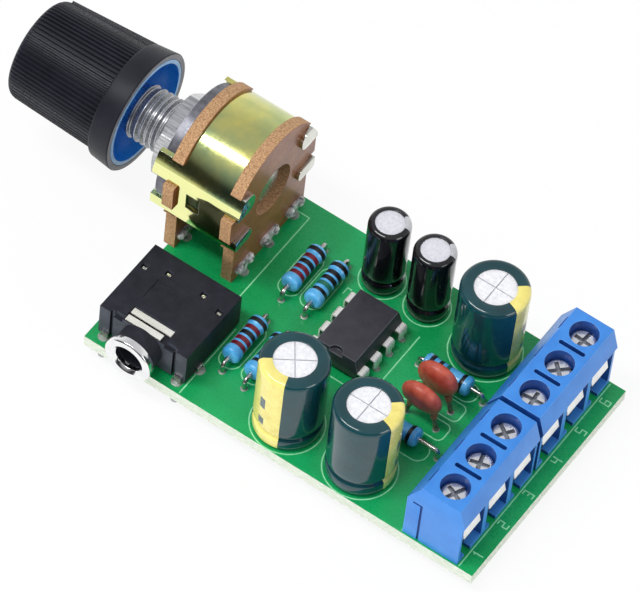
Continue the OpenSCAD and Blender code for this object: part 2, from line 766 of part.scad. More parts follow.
// Block of three poles with screw wells, wire entries and a space for each clamp
module terminal_block(b) {
  first = (b - 1) * block_poles;
  color([0.2, 0.45, 0.85]) translate(to_frame) difference() {
    translate([block_rear, block_y[b - 1] + block_l, 0]) rotate([90, 0, 0]) linear_extrude(block_l)
      polygon(block_section);
    for (i = [first : first + block_poles - 1]) translate([0, pole_y[i], 0]) pole_space();
    for (i = [first : first + block_poles - 2])
      translate([screw_x, pole_y[i] + pole_pitch / 2, block_h - top_slot_depth]) top_slot();
    for (end = [0, 1])
      translate([block_rear, block_y[b - 1] + end * block_l, 0]) mirror([0, end, 0]) end_groove();
  }
}

module pole_space() {
  deep = block_rear + block_depth - entry_back;
  translate([screw_x, 0, clamp_lift]) cylinder(d = well_d, h = block_h);
  translate([clamp_x - seat_gap, -cavity_w / 2, -cut])
    cube([clamp_l + 2 * seat_gap, cavity_w, clamp_roof_top + seat_gap + cut]);
  translate([entry_back, -entry_w / 2, sill_h]) cube([deep + cut, entry_w, entry_top - sill_h]);
  translate([entry_back, sill_foot - entry_w / 2, -cut]) cube([deep + cut, sill_notch_w, sill_h + 2 * cut]);
  translate([screw_x, -guard_w / 2 - seat_gap, sill_h])
    cube([flap_x - screw_x + cut, guard_w + 2 * seat_gap, clamp_roof_z - sill_h]);
  translate([block_rear + rear_slope_x - rear_notch_depth, -rear_notch_w / 2, block_h - rear_notch_h])
    cube([rear_notch_depth, rear_notch_w, cut]);
}

// Blind slot with round ends between two screws
module top_slot() {
  straight = top_slot_l - top_slot_w;
  translate([-straight / 2, -top_slot_w / 2, 0]) cube([straight, top_slot_w, cut]);
  for (side = [-1, 1]) translate([side * straight / 2, 0, 0]) cylinder(d = top_slot_w, h = cut, $fn = 24);
}

// Bent groove in the end face, where blocks are keyed together
module end_groove() {
  translate([end_groove_x - 1, -cut, end_groove_z - end_groove_w])
    cube([1, cut + end_groove_depth, end_groove_w]);
  translate([end_groove_x, -cut, -cut]) cube([end_groove_w, cut + end_groove_depth, end_groove_z + cut]);
}

// Clamp screw: slotted head, thread and a pilot that carries the wire guard
module terminal_screw(i) {
  thread_z = guard_z + guard_t + slip;
  drive_turn = first_drive_turn + drive_turn_step * (i - 1);
  color("silver") placed([screw_x, pole_y[i - 1]]) {
    difference() {
      translate([0, 0, head_z]) rotate_extrude($fn = 48)
        polygon([[0, 0], [head_d / 2, 0], [head_d / 2, head_t - 0.25], [head_d / 2 - 0.3, head_t],
          [0, head_t]]);
      translate([0, 0, head_z + head_t - drive_depth]) rotate(drive_turn) {
        translate([-head_d, -drive_w / 2, 0]) cube([2 * head_d, drive_w, cut]);
        translate([-drive_w / 2, -head_d * 0.36, 0]) cube([drive_w, head_d * 0.72, cut]);
      }
    }
    translate([0, 0, thread_z]) cylinder(d = thread_d, h = head_z - thread_z, $fn = 48);
    translate([0, 0, guard_z]) cylinder(d = pilot_d, h = thread_z - guard_z, $fn = 32);
  }
}

// Wire guard: a plate on the screw's pilot with a slanted flap that shows in the wire entry
module wire_guard(i) {
  plate_l = flap_x + guard_t / 2 - screw_x + guard_tail;
  flap_h = entry_top - 2 * seat_gap - guard_z;
  color("gainsboro") placed([0, pole_y[i - 1]], guard_z) difference() {
    union() {
      translate([screw_x - guard_tail, -guard_w / 2, 0]) cube([plate_l, guard_w, guard_t]);
      translate([flap_x, flap_w / 2, 0]) rotate([90, 0, 0]) linear_extrude(flap_w)
        polygon([[0, 0], [guard_t, 0], [guard_t - flap_lean, flap_h], [-flap_lean, flap_h]]);
    }
    translate([screw_x, 0, -cut]) cylinder(d = pilot_d + 2 * slip, h = guard_t + 2 * cut, $fn = 32);
  }
}

// Tinned clamp frames, each with a threaded roof and a pin to the board
module terminal_clamps() {
  color("silver") for (y = pole_y) placed([0, y]) {
    difference() {
      translate([clamp_x, -clamp_w / 2, clamp_lift]) cube([clamp_l, clamp_w, clamp_roof_top - clamp_lift]);
      translate([clamp_x - cut, -clamp_w / 2 + clamp_wall, clamp_lift + clamp_floor])
        cube([clamp_l + 2 * cut, clamp_w - 2 * clamp_wall, clamp_roof_z - clamp_lift - clamp_floor]);
      translate([screw_x, 0, clamp_roof_z - cut])
        cylinder(d = thread_d + 2 * slip, h = clamp_roof + 2 * cut, $fn = 48);
    }
    translate([screw_x, 0, -board_t]) cylinder(d = clamp_pin_d, h = board_t + clamp_lift, $fn = 24);
  }
}

// Outline of the can: round above with flat sides, open below
module can_outline(inset) {
  width = can_w - 2 * inset;
  intersection() {
    union() {
      circle(d = can_d - 2 * inset);
      translate([can_skirt - cut, -width / 2]) square([cut - can_skirt, width]);
    }
    translate([can_skirt - (inset > 0 ? cut : 0), -width / 2]) square([can_d, width]);
  }
}

module can_wall() {
  difference() {
    can_outline(0);
    can_outline(can_t);
  }
}

// Rows in which the upper and lower tabs run
module tab_rows(play) {
  for (band = tab_bands)
    translate([band[0] - play, -wafer_d]) square([band[1] - band[0] + 2 * play, 2 * wafer_d]);
}

// Room for the tabs in the pieces that they hold
module tab_notches() {
  difference() {
    tab_rows(seat_gap);
    can_outline(can_t + seat_gap);
  }
}

// Ends of the tabs, bent in over the wafer or the front plate
module tab_folds(fold) {
  for (band = tab_bands, side = [0, 1]) mirror([0, side]) intersection() {
    tab_end(band[0], band[1] - band[0], fold);
    can_outline(can_t / 2);
  }
}

// Flat of one tab with rounded corners
module tab_end(low, width, fold) {
  r = min(width / 2, fold) * 0.8;
  tip = fold - can_w / 2;
  translate([low, -can_w / 2]) square([width, fold - r]);
  translate([low + r, -can_w / 2]) square([width - 2 * r, fold]);
  for (x = [low + r, low + width - r]) translate([x, tip - r]) circle(r, $fn = 32);
}

// Plated sheet can, with tabs that hold the front plate and both wafers together
module pot_can() {
  front_reach = tab_reach + can_t;
  color([0.72, 0.7, 0.4]) {
    difference() {
      on_shaft(-can_t) linear_extrude(can_t + front_wafer_u + front_reach) can_wall();
      on_shaft(-can_t - cut) linear_extrude(can_t + cut + can_u) beside_tabs();
      on_shaft(front_wafer_u) linear_extrude(front_reach + cut) beside_tabs();
      on_shaft(can_window_u) translate([can_window_z, -can_w, 0]) cube([can_window_h, can_w, can_window_w]);
    }
    on_shaft(-can_t) linear_extrude(can_t) tab_folds(rear_fold);
    on_shaft(front_wafer_u + tab_reach) linear_extrude(can_t) tab_folds(front_fold);
  }
}

// Parts of the can's wall that end where the tabs begin
module beside_tabs() {
  difference() {
    square(2 * wafer_d, center = true);
    tab_rows(0);
  }
}

// Resistive wafer: round above, with flat sides, and a foot below
module wafer(hole_d) {
  half = wafer_w / 2;
  difference() {
    intersection() {
      cylinder(d = wafer_d, h = wafer_t);
      translate([foot_shoulder, -half, -cut]) cube([wafer_d, wafer_w, wafer_t + 2 * cut]);
    }
    translate([0, 0, -cut]) cylinder(d = hole_d, h = wafer_t + 2 * cut);
    translate([0, 0, -cut]) linear_extrude(wafer_t + 2 * cut) tab_notches();
  }
  translate([-pot_axis_h, -foot_w / 2, 0]) cube([pot_axis_h + foot_shoulder + seat_gap, foot_w, wafer_t]);
}

module pot_rear_wafer() { color([0.45, 0.3, 0.2]) on_shaft(0) wafer(wafer_hole_d); }

module pot_front_wafer() {
  color([0.45, 0.3, 0.2]) on_shaft(front_wafer_u) wafer(front_wafer_hole_d);
}

// Crimped terminals low on the back of both wafers, with pins through the board
module pot_terminals() {
  color("silver") for (u = [0, front_wafer_u], k = [-1 : 1])
    placed([pot_x - u, pot_y + k * terminal_pitch]) {
      translate([0, -terminal_pin_w / 2, -board_t])
        cube([terminal_t, terminal_pin_w, board_t + terminal_z + terminal_h / 2]);
      translate([0, 0, terminal_z + terminal_h / 2]) rotate([0, 90, 0]) terminal_lug();
    }
}

// Lug with round ends and two crimped eyelets
module terminal_lug() {
  straight = terminal_w - terminal_h;
  translate([-terminal_h / 2, -straight / 2, 0]) cube([terminal_h, straight, terminal_t]);
  for (side = [-1, 1]) translate([0, side * straight / 2, 0]) {
    cylinder(d = terminal_h, h = terminal_t, $fn = 32);
    eyelet();
  }
}

// Rolled collar with a dent in its middle
module eyelet() {
  r = eyelet_d / 2;
  dent = eyelet_dent_d / 2;
  top = terminal_t + eyelet_rise;
  rotate_extrude($fn = 32) polygon(concat([[0, 0], [r, 0]],
    arc([r - eyelet_rise, terminal_t], eyelet_rise, 0, 90, 4), [[dent, top], [0, top - eyelet_rise]]));
}

// Cast front plate and its threaded bushing
module pot_bushing() {
  r = bushing_d / 2;
  ridges = floor((bushing_l - 2 * thread_start) / thread_pitch);
  thread = [for (k = [0 : ridges - 1], s = [0, 1])
    [r - thread_depth * (1 - s), washer_u + thread_start + (k + s / 2) * thread_pitch]];
  color([0.6, 0.62, 0.64]) on_shaft() difference() {
    rotate_extrude() polygon(concat(
      [[0, plate_u], [plate_d / 2, plate_u], [plate_d / 2, washer_u], [r, washer_u]],
      thread, [[r - thread_depth, bushing_end_u - thread_start], [r, bushing_end_u - 0.35],
        [r - 0.2, bushing_end_u], [0, bushing_end_u]]));
    translate([0, 0, plate_u - cut]) cylinder(d = shaft_d + 2 * slip, h = bushing_end_u);
    translate([0, 0, plate_u - cut]) linear_extrude(plate_t + 2 * cut) tab_notches();
  }
}

module pot_washer() {
  color("gainsboro") on_shaft(washer_u) difference() {
    cylinder(d = washer_d, h = washer_t);
    translate([0, 0, -cut]) cylinder(d = bushing_d + 2 * slip, h = washer_t + 2 * cut);
  }
}

// Hexagon nut with turned corners
module pot_nut() {
  corner_r = nut_af / 2 / cos(30);
  chamfer = 0.35;
  color("gainsboro") on_shaft(nut_u) difference() {
    intersection() {
      rotate(15) cylinder(r = corner_r, h = nut_t, $fn = 6);
      rotate_extrude() polygon([[0, -cut], [corner_r + 2 * chamfer, -cut],
        [corner_r + 2 * chamfer, nut_t - 2 * chamfer], [corner_r - 2 * chamfer, nut_t], [0, nut_t]]);
    }
    translate([0, 0, -cut]) cylinder(d = bushing_d + 2 * slip, h = nut_t + 2 * cut);
  }
}

// Shaft, slimmer where it carries the rotors
module pot_shaft() {
  edge = 0.4;
  r = shaft_d / 2;
  tail_r = shaft_tail_d / 2;
  color("lightgray") on_shaft() rotate_extrude() polygon([[0, shaft_tail_u], [tail_r, shaft_tail_u],
    [tail_r, front_wafer_u], [r, front_wafer_u], [r, shaft_end_u - edge], [r - edge, shaft_end_u],
    [0, shaft_end_u]]);
}

// Moulded rotor with two sprung contacts that face a wafer
module rotor() {
  contact_r = rotor_d / 2 - 1.3;
  difference() {
    cylinder(d = rotor_d, h = rotor_t);
    translate([0, 0, -cut]) cylinder(d = shaft_tail_d + 2 * slip, h = rotor_t + 2 * cut);
  }
  for (turn = [-12, 12])
    rotate(turn) translate([contact_r, 0, -rotor_gap / 2]) cylinder(d = 0.8, h = rotor_gap / 2, $fn = 24);
}

module pot_rear_rotor() { color("ivory") on_shaft(can_u + rotor_gap) rotor(); }

module pot_front_rotor() {
  color("ivory") on_shaft(front_wafer_u - rotor_gap) mirror([0, 0, 1]) rotor();
}

// Outline of the grip: evenly spaced grooves round a circle
flute_step = 360 / flutes;
grip_outline = [for (k = [0 : flutes - 1], part = [[0, 0], [0.3, 0], [0.5, 1], [0.8, 1]])
  (grip_d / 2 - part[1] * flute_depth) * heading((k + part[0]) * flute_step)];

// Knob: fluted tapered grip, pointer rib and smooth skirt, hollow for the liner
module knob_body() {
  grip_l = knob_l - skirt_l;
  end_scale = grip_end_d / grip_d;
  color([0.12, 0.12, 0.13]) on_shaft(knob_u) difference() {
    union() {
      rotate_extrude() polygon(concat([[0, 0], [skirt_d / 2 - 0.1, 0], [skirt_d / 2, 0.15]],
        arc([(skirt_d - skirt_taper) / 2 - skirt_edge_r, skirt_l - skirt_edge_r], skirt_edge_r, 0, 90, 4),
        [[0, skirt_l]]));
      intersection() {
        translate([0, 0, skirt_l]) linear_extrude(grip_l, scale = end_scale) polygon(grip_outline);
        rotate_extrude() polygon(concat([[0, 0], [grip_d, 0], [grip_d, skirt_l]],
          [[grip_end_d / 2 + 0.2, knob_l - knob_edge_r]],
          arc([grip_end_d / 2 - knob_edge_r, knob_l - knob_edge_r], knob_edge_r, 0, 90, 6), [[0, knob_l]]));
      }
      rotate(90 - pointer_angle) pointer_rib();
    }
    rotate_extrude() polygon(concat([[0, -cut], [liner_d / 2 + slip, -cut]], liner_outside(slip),
      [[0, hub_l + slip]]));
  }
}

// Straight rib along the grip that shows where the knob points
module pointer_rib() {
  base = grip_d / 2 - 1.5;
  near = grip_d / 2 + pointer_rise;
  far = grip_end_d / 2 + pointer_rise / 2;
  top = knob_l - knob_edge_r;
  rotate([90, 0, 0]) linear_extrude(pointer_w, center = true)
    polygon([[base, skirt_l - 0.5], [near, skirt_l - 0.5], [near, skirt_l], [far, top], [base, top]]);
}

// Outside of the liner from its rim over the tapered cup to the end of the hub
liner_cup_r = grip_d / 2 - flute_depth - knob_wall;
function liner_outside(play) = [[liner_d / 2 + play, 0], [liner_d / 2 + play, liner_lip],
  [liner_cup_r + play, liner_depth + hub_flange + play],
  [hub_d / 2 + play, liner_depth + hub_flange + play], [hub_d / 2 + play, hub_l + play]];

// Liner: a bowl inside the open end, with a hub that grips the shaft
module knob_liner() {
  bore = shaft_d / 2 + slip;
  color([0.1, 0.3, 0.75]) on_shaft(knob_u) rotate_extrude() polygon(concat(liner_outside(0),
    [[bore, hub_l], [bore, liner_depth], [liner_cup_r - liner_t, liner_depth],
      [liner_d / 2 - liner_t, liner_lip], [liner_d / 2 - liner_t, 0]]));
}

circuit_board();
solder_joints();
amplifier_chip();
chip_leads();
for (i = [1 : large_caps]) {
  large_capacitor_sleeve(i);
  large_capacitor_can(i);
}
for (i = [1 : small_caps]) {
  small_capacitor_sleeve(i);
  small_capacitor_can(i);
}
capacitor_bungs();
capacitor_leads();
for (i = [1 : resistors])
  resistor(i);
resistor_leads();
for (i = [1 : discs])
  ceramic_capacitor(i);
ceramic_leads();
jack_housing();
jack_ring();
jack_springs();
jack_contacts();
for (b = [1 : blocks])
  terminal_block(b);
for (i = [1 : poles]) {
  terminal_screw(i);
  wire_guard(i);
}
terminal_clamps();
pot_bushing();
pot_front_wafer();
pot_can();
pot_rear_wafer();
pot_nut();
pot_washer();
pot_shaft();
pot_front_rotor();
pot_rear_rotor();
pot_terminals();
knob_body();
knob_liner();
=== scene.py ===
"""Looks of the audio amplifier board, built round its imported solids."""
import json
import math

import bmesh
import bpy
from mathutils import Matrix, Vector

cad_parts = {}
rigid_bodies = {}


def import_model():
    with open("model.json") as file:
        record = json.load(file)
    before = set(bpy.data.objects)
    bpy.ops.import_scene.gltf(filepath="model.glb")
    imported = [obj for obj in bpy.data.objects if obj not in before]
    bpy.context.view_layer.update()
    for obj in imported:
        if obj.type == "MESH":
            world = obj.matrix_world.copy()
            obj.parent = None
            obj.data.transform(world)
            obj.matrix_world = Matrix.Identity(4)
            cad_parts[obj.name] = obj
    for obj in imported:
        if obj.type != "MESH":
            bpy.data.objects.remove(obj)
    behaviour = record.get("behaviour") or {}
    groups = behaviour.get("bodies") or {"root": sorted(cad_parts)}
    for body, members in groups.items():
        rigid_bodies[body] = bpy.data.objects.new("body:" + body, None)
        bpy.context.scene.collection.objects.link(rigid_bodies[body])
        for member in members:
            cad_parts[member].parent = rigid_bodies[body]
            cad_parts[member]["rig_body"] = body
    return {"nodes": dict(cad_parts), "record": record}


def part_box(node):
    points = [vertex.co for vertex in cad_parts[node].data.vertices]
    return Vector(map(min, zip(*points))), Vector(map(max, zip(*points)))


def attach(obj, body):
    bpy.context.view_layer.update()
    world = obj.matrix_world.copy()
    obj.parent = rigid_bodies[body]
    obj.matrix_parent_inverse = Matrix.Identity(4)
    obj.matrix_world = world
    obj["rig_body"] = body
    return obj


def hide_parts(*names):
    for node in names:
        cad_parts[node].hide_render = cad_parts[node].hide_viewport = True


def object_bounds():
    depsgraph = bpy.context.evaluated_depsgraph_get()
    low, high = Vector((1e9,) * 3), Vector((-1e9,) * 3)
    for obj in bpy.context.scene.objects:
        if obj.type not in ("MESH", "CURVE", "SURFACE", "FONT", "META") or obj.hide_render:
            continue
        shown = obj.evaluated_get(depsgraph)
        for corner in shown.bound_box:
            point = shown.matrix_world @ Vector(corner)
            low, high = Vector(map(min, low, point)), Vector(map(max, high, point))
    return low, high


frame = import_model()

MM = 0.001
cad_box = [list(corner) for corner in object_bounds()]
NODES = frame["nodes"]
SLOT = {part["node"]: part["material_slot"] for part in frame["record"]["subparts"]}
board_low, board_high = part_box("circuit_board")
# Middle of the board's top face: the layout below is in millimetres from there
ORIGIN = Vector(((board_low.x + board_high.x) / 2, (board_low.y + board_high.y) / 2, board_high.z))
HALF_L = (board_high.x - board_low.x) / 2 / MM
HALF_W = (board_high.y - board_low.y) / 2 / MM
# Distances, in mm, within which a face's centre counts as lying on a plane
NEAR, HAIR = 0.05, 0.02
# Least part of a face's normal along an axis for the face to look squarely along it
FACING = 0.9


def at(x, y, z=0.0):
    """Point of the layout, in the scene's metres."""
    return ORIGIN + Vector((x, y, z)) * MM


def layout_box(name):
    """Low and high corner of a CAD node's box, in the layout's millimetres."""
    return [(corner - ORIGIN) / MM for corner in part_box(name)]


def snap(value, step=0.05):
    """Size read from a tessellated box, to the nearest step."""
    return round(value / step) * step


def upright(name):
    """Middle, radius and top of an upright round node."""
    low, high = layout_box(name)
    spot = (snap((low.x + high.x) / 2), snap((low.y + high.y) / 2))
    return spot, snap((high.y - low.y) / 2), snap(high.z)


def arc(x, y, radius, start, end, steps):
    """Points of an arc from one angle to another, in degrees."""
    turns = [math.radians(start + (end - start) * k / steps) for k in range(steps + 1)]
    return [(x + radius * math.cos(turn), y + radius * math.sin(turn)) for turn in turns]


# Materials


def linear(*rgb):
    """Written colour, 0 to 255, as the linear values that a shader takes."""
    out = [c / 255 / 12.92 if c <= 10 else ((c / 255 + 0.055) / 1.055) ** 2.4 for c in rgb]
    return (*out, 1.0)


def node(tree, kind, **inputs):
    """New shader node with constants on its sockets."""
    made = tree.nodes.new(kind)
    for key, value in inputs.items():
        made.inputs[key].default_value = value
    return made


def feed(tree, socket, value):
    """Links another node's output to a socket, or sets a constant on it."""
    if isinstance(value, bpy.types.NodeSocket):
        tree.links.new(value, socket)
    else:
        socket.default_value = value


def noise(tree, scale, detail, stretch):
    """Noise in the part's own coordinates; scale counts cells per metre."""
    vector = tree.nodes.new("ShaderNodeTexCoord").outputs["Object"]
    if stretch:
        mapping = node(tree, "ShaderNodeMapping", Scale=stretch)
        tree.links.new(vector, mapping.inputs["Vector"])
        vector = mapping.outputs["Vector"]
    made = node(tree, "ShaderNodeTexNoise", Scale=scale, Detail=detail, Roughness=0.55)
    tree.links.new(vector, made.inputs["Vector"])
    return made.outputs["Fac"]


def remap(tree, value, low, high, source=(0.3, 0.7)):
    """Value carried over from the source range to the range from low to high."""
    made = tree.nodes.new("ShaderNodeMapRange")
    made.inputs["From Min"].default_value, made.inputs["From Max"].default_value = source
    made.inputs["To Min"].default_value, made.inputs["To Max"].default_value = low, high
    tree.links.new(value, made.inputs["Value"])
    return made.outputs["Result"]


def combine(tree, operation, first, second):
    """Maths operation on two values, each an output or a constant."""
    made = tree.nodes.new("ShaderNodeMath")
    made.operation = operation
    feed(tree, made.inputs[0], first)
    feed(tree, made.inputs[1], second)
    return made.outputs[0]


def blend_colours(tree, factor, first, second):
    """Mix of two colours, each an output or a constant."""
    made = tree.nodes.new("ShaderNodeMix")
    made.data_type = "RGBA"
    feed(tree, made.inputs[0], factor)
    feed(tree, made.inputs[6], first)
    feed(tree, made.inputs[7], second)
    return made.outputs[2]


def surface(name, dark, light, rough, metallic=0.0, patch=350, grain=5000, bump=0.15, depth=0.01,
            coat=0.0, coat_rough=0.1, stretch=None, specular=0.5):
    """Material whose colour drifts between two tones, with its own roughness and fine relief.
    patch and grain count cells per metre; depth is the relief's height in mm."""
    made = bpy.data.materials.new(name)
    made.use_nodes = True
    tree = made.node_tree
    shader = tree.nodes["Principled BSDF"]
    shader.inputs["Metallic"].default_value = metallic
    shader.inputs["Specular IOR Level"].default_value = specular
    shader.inputs["Coat Weight"].default_value = coat
    shader.inputs["Coat Roughness"].default_value = coat_rough
    drift = remap(tree, noise(tree, patch, 4.0, stretch), 0.0, 1.0)
    colour = blend_colours(tree, drift, linear(*dark), linear(*light))
    tree.links.new(colour, shader.inputs["Base Color"])
    fine = noise(tree, grain, 2.0, stretch)
    tree.links.new(remap(tree, fine, rough * 0.8, min(1.0, rough * 1.2)), shader.inputs["Roughness"])
    relief = node(tree, "ShaderNodeBump", Strength=bump, Distance=depth * MM)
    tree.links.new(fine, relief.inputs["Height"])
    tree.links.new(relief.outputs["Normal"], shader.inputs["Normal"])
    return made


# Board, solder and leads
MASK = surface("solder_mask", (5, 149, 77), (25, 177, 101), 0.3, patch=90, grain=2500, bump=0.05,
               coat=0.1, specular=0.4)
BOARD_EDGE = surface("cut_glass_fibre", (206, 218, 196), (240, 244, 232), 0.8, patch=1800, grain=9000,
                     bump=0.6, depth=0.05, stretch=(1, 1, 5))
SILK = surface("printed_outline", (132, 226, 164), (166, 244, 192), 0.55, patch=2500, grain=9000,
               bump=0.1)
PAD = surface("tinned_pad", (168, 170, 168), (206, 207, 204), 0.3, metallic=1.0, patch=900, bump=0.2)
SOLDER = surface("solder", (150, 152, 154), (196, 198, 200), 0.28, metallic=1.0, patch=700, grain=3000,
                 bump=0.25)
FILLET = surface("dull_solder", (100, 116, 104), (172, 180, 172), 0.42, metallic=0.25, patch=900,
                 grain=3000, bump=0.3, depth=0.02)
TIN = surface("tinned_lead", (178, 178, 174), (214, 213, 208), 0.26, metallic=1.0, patch=900, grain=4000,
              bump=0.18)
COATED_LEG = surface("coated_leg", (92, 74, 58), (150, 140, 124), 0.4, metallic=0.5, patch=1600,
                     grain=4000, bump=0.2)
# Paler copy of the tin for the chip's leads: a painted highlight
TIN_HIGHLIGHT = surface("tin_painted_highlight", (236, 235, 229), (250, 250, 246), 0.3, metallic=0.45, patch=500,
                     grain=3000, bump=0.12)
SPRING = surface("sprung_strip", (224, 223, 210), (252, 252, 246), 0.26, metallic=0.45, patch=900,
                 grain=2600, bump=0.04, stretch=(0.12, 1, 1))

# Chip
EPOXY = surface("moulded_epoxy", (41, 41, 48), (53, 53, 61), 0.5, patch=900, grain=9000, bump=0.35,
                depth=0.02)
# Paler copy of the epoxy for the rounded edges: a painted highlight
EPOXY_EDGE_HIGHLIGHT = surface("moulded_epoxy_edge_highlight", (74, 74, 82), (96, 96, 104), 0.5, patch=2500, grain=9000,
                     bump=0.35, depth=0.02)

# Electrolytic capacitors
SLEEVE_TEAL = surface("teal_sleeve", (8, 54, 61), (15, 67, 74), 0.13, patch=260, grain=1200, bump=0.06,
                      depth=0.03, coat=0.25, coat_rough=0.06)
SLEEVE_BLACK = surface("black_sleeve", (11, 12, 16), (19, 20, 25), 0.14, patch=260, grain=1200, bump=0.06,
                       depth=0.03, coat=0.25, coat_rough=0.06)
STRIPE_GOLD = surface("gold_stripe", (228, 212, 108), (246, 234, 138), 0.24, patch=600, grain=2000,
                      bump=0.08, coat=0.5)
STRIPE_GREY = surface("grey_stripe", (176, 178, 182), (202, 204, 208), 0.26, patch=600, grain=2000,
                      bump=0.08, coat=0.5)
MARK_GREY = surface("minus_mark", (92, 104, 106), (108, 120, 122), 0.3, patch=800, grain=2500, bump=0.06)
CAN_TOP = surface("can_top", (226, 227, 231), (250, 250, 252), 0.5, metallic=0.1, patch=2600, grain=7000,
                  bump=0.2)
SMALL_TOP = surface("small_can_top", (206, 207, 214), (228, 229, 236), 0.5, metallic=0.1, patch=2600,
                    grain=7000, bump=0.2)
# Darker copy of the top for the scored vent's faces: painted shade in the grooves
VENT_GROOVE_SHADE = surface("vent_score_painted_shade", (208, 210, 215), (228, 230, 233), 0.5, metallic=0.1, patch=2600,
                    grain=7000, bump=0.2)
BUNG = surface("bung_rubber", (18, 18, 18), (30, 30, 30), 0.8, grain=6000, bump=0.4)

# Resistors and discs
RESISTOR = surface("resistor_paint", (62, 158, 220), (108, 194, 246), 0.3, patch=900, grain=3500,
                   bump=0.25, depth=0.02, coat=0.4)
BAND_RED = surface("band_red", (96, 18, 34), (124, 26, 44), 0.34, patch=1500, grain=4500, bump=0.3,
                   depth=0.02)
BAND_BLACK = surface("band_black", (14, 14, 18), (28, 28, 34), 0.34, patch=1500, grain=4500, bump=0.3,
                     depth=0.02)
BAND_GREEN = surface("band_green", (24, 98, 84), (36, 116, 98), 0.34, patch=1500, grain=4500, bump=0.3,
                     depth=0.02)
DIPPED = surface("dipped_coat", (178, 70, 54), (212, 100, 78), 0.42, patch=1100, grain=2600, bump=0.3,
                 depth=0.04, coat=0.15, coat_rough=0.3)

# Jack
JACK = surface("jack_nylon", (27, 28, 36), (39, 40, 50), 0.5, patch=700, grain=7000, bump=0.3, depth=0.02,
               specular=0.25)
# Paler copy of the nylon for the front faces: painted light
JACK_LIT_FRONT = surface("jack_nylon_painted_light_front", (56, 60, 69), (74, 78, 88), 0.5, patch=700, grain=7000, bump=0.3,
                     depth=0.02, specular=0.25)
# Paler copy of the nylon for the rounded edges: a painted highlight
JACK_EDGE_HIGHLIGHT = surface("jack_nylon_edge_highlight", (70, 72, 82), (100, 102, 112), 0.45, patch=2200, grain=7000,
                    bump=0.3, depth=0.02)
CHROME = surface("bright_ring", (240, 240, 242), (252, 252, 252), 0.16, metallic=1.0, patch=600,
                 grain=2500, bump=0.08)

# Screw terminals
BLUE = surface("terminal_blue", (50, 126, 212), (64, 142, 226), 0.36, patch=300, grain=5000, bump=0.16,
               depth=0.015)
# Paler copy of the blue for the rounded edges: a painted highlight
BLUE_EDGE_HIGHLIGHT = surface("terminal_blue_edge_highlight", (104, 160, 232), (136, 184, 242), 0.36, patch=1400, grain=5000,
                    bump=0.16, depth=0.015)
# Darker copy of the blue for the wells, slots, entries and the gap between the blocks: painted shade
BLUE_SHADE = surface("terminal_blue_painted_shade", (18, 64, 138), (29, 83, 166), 0.4, patch=500, grain=5000,
                    bump=0.16, depth=0.015)
ZINC = surface("screw_zinc", (234, 236, 240), (252, 252, 252), 0.24, metallic=0.8, patch=2600, grain=3600,
               bump=0.25, depth=0.03)
# Darker copy for the crossed slots of the screw heads: painted shade
SCREW_SLOT_SHADE = surface("screw_slot_painted_shade", (122, 126, 134), (170, 174, 180), 0.4, metallic=0.3, patch=2600,
                     grain=3600, bump=0.2, depth=0.02)
GUARD = surface("guard_tin", (240, 240, 238), (252, 252, 250), 0.4, metallic=0.15, patch=900, grain=4000,
                bump=0.12)

# Volume control
CAST = surface("cast_zinc", (108, 109, 116), (142, 143, 150), 0.46, metallic=1.0, patch=1200, grain=5000,
               bump=0.15, depth=0.02)
THREAD = surface("bushing_metal", (132, 134, 138), (154, 156, 160), 0.3, metallic=0.6, patch=900,
                 grain=4000, bump=0.05)
# Pale copy for the rounded edges of the bushing, the thread's crests among them: a painted highlight
THREAD_CREST_HIGHLIGHT = surface("thread_crest_painted_highlight", (230, 231, 233), (250, 250, 250), 0.25, metallic=0.5, patch=900,
                       grain=4000, bump=0.05)
PHENOLIC = surface("phenolic_face", (130, 74, 40), (156, 96, 55), 0.4, patch=500, grain=4000, bump=0.2,
                   coat=0.2)
PHENOLIC_EDGE = surface("phenolic_edge", (136, 97, 64), (214, 172, 128), 0.85, patch=5200, grain=7000,
                        bump=0.7, depth=0.05)
PLATED = surface("yellow_plate", (148, 184, 144), (240, 227, 128), 0.16, metallic=1.0, patch=140,
                 grain=3000, bump=0.06, depth=0.02)
# Palest copy of the plate for the can's flat sides: a painted reflection of the bright floor
PLATED_SIDE_REFLECTION = surface("yellow_plate_painted_reflection", (238, 244, 168), (252, 250, 178), 0.1, metallic=1.0, patch=140,
                      grain=3000, bump=0.04, depth=0.02)
# Pale copy for the can's rounded edges: a painted highlight
PLATED_EDGE_HIGHLIGHT = surface("plate_edge_painted_highlight", (226, 226, 214), (250, 250, 244), 0.22, metallic=0.8, patch=900,
                      grain=4000, bump=0.1)
STEEL = surface("tab_steel", (196, 198, 188), (226, 226, 216), 0.12, metallic=1.0, patch=500, grain=3000,
                bump=0.08, depth=0.02)
# Tone drifts in small patches from dark grey to white: painted glints and shade on the crimped tin
LUG_GLINTS = surface("crimped_lug_painted_glints", (66, 68, 70), (255, 255, 255), 0.3, metallic=0.15, patch=1500, grain=1500,
              bump=0.8, depth=0.12)
NICKEL = surface("nickel_plate", (158, 160, 163), (212, 213, 215), 0.2, metallic=1.0, patch=1500,
                 grain=1800, bump=0.3, depth=0.02, stretch=(0.25, 2, 2))
SHAFT = surface("turned_aluminium", (196, 197, 200), (220, 221, 222), 0.25, metallic=1.0, grain=3000,
                bump=0.1)
IVORY = surface("ivory_plastic", (206, 200, 176), (222, 216, 194), 0.45, grain=5000, bump=0.15)

# Knob
KNOB = surface("knob_black", (21, 22, 30), (32, 33, 43), 0.44, patch=300, grain=6000, bump=0.2,
               depth=0.015, specular=0.28)
# Paler copy of the black for the rounded edges: a painted highlight
KNOB_EDGE_HIGHLIGHT = surface("knob_black_edge_highlight", (70, 72, 84), (98, 100, 112), 0.4, patch=1400, grain=6000,
                    bump=0.2, depth=0.015)
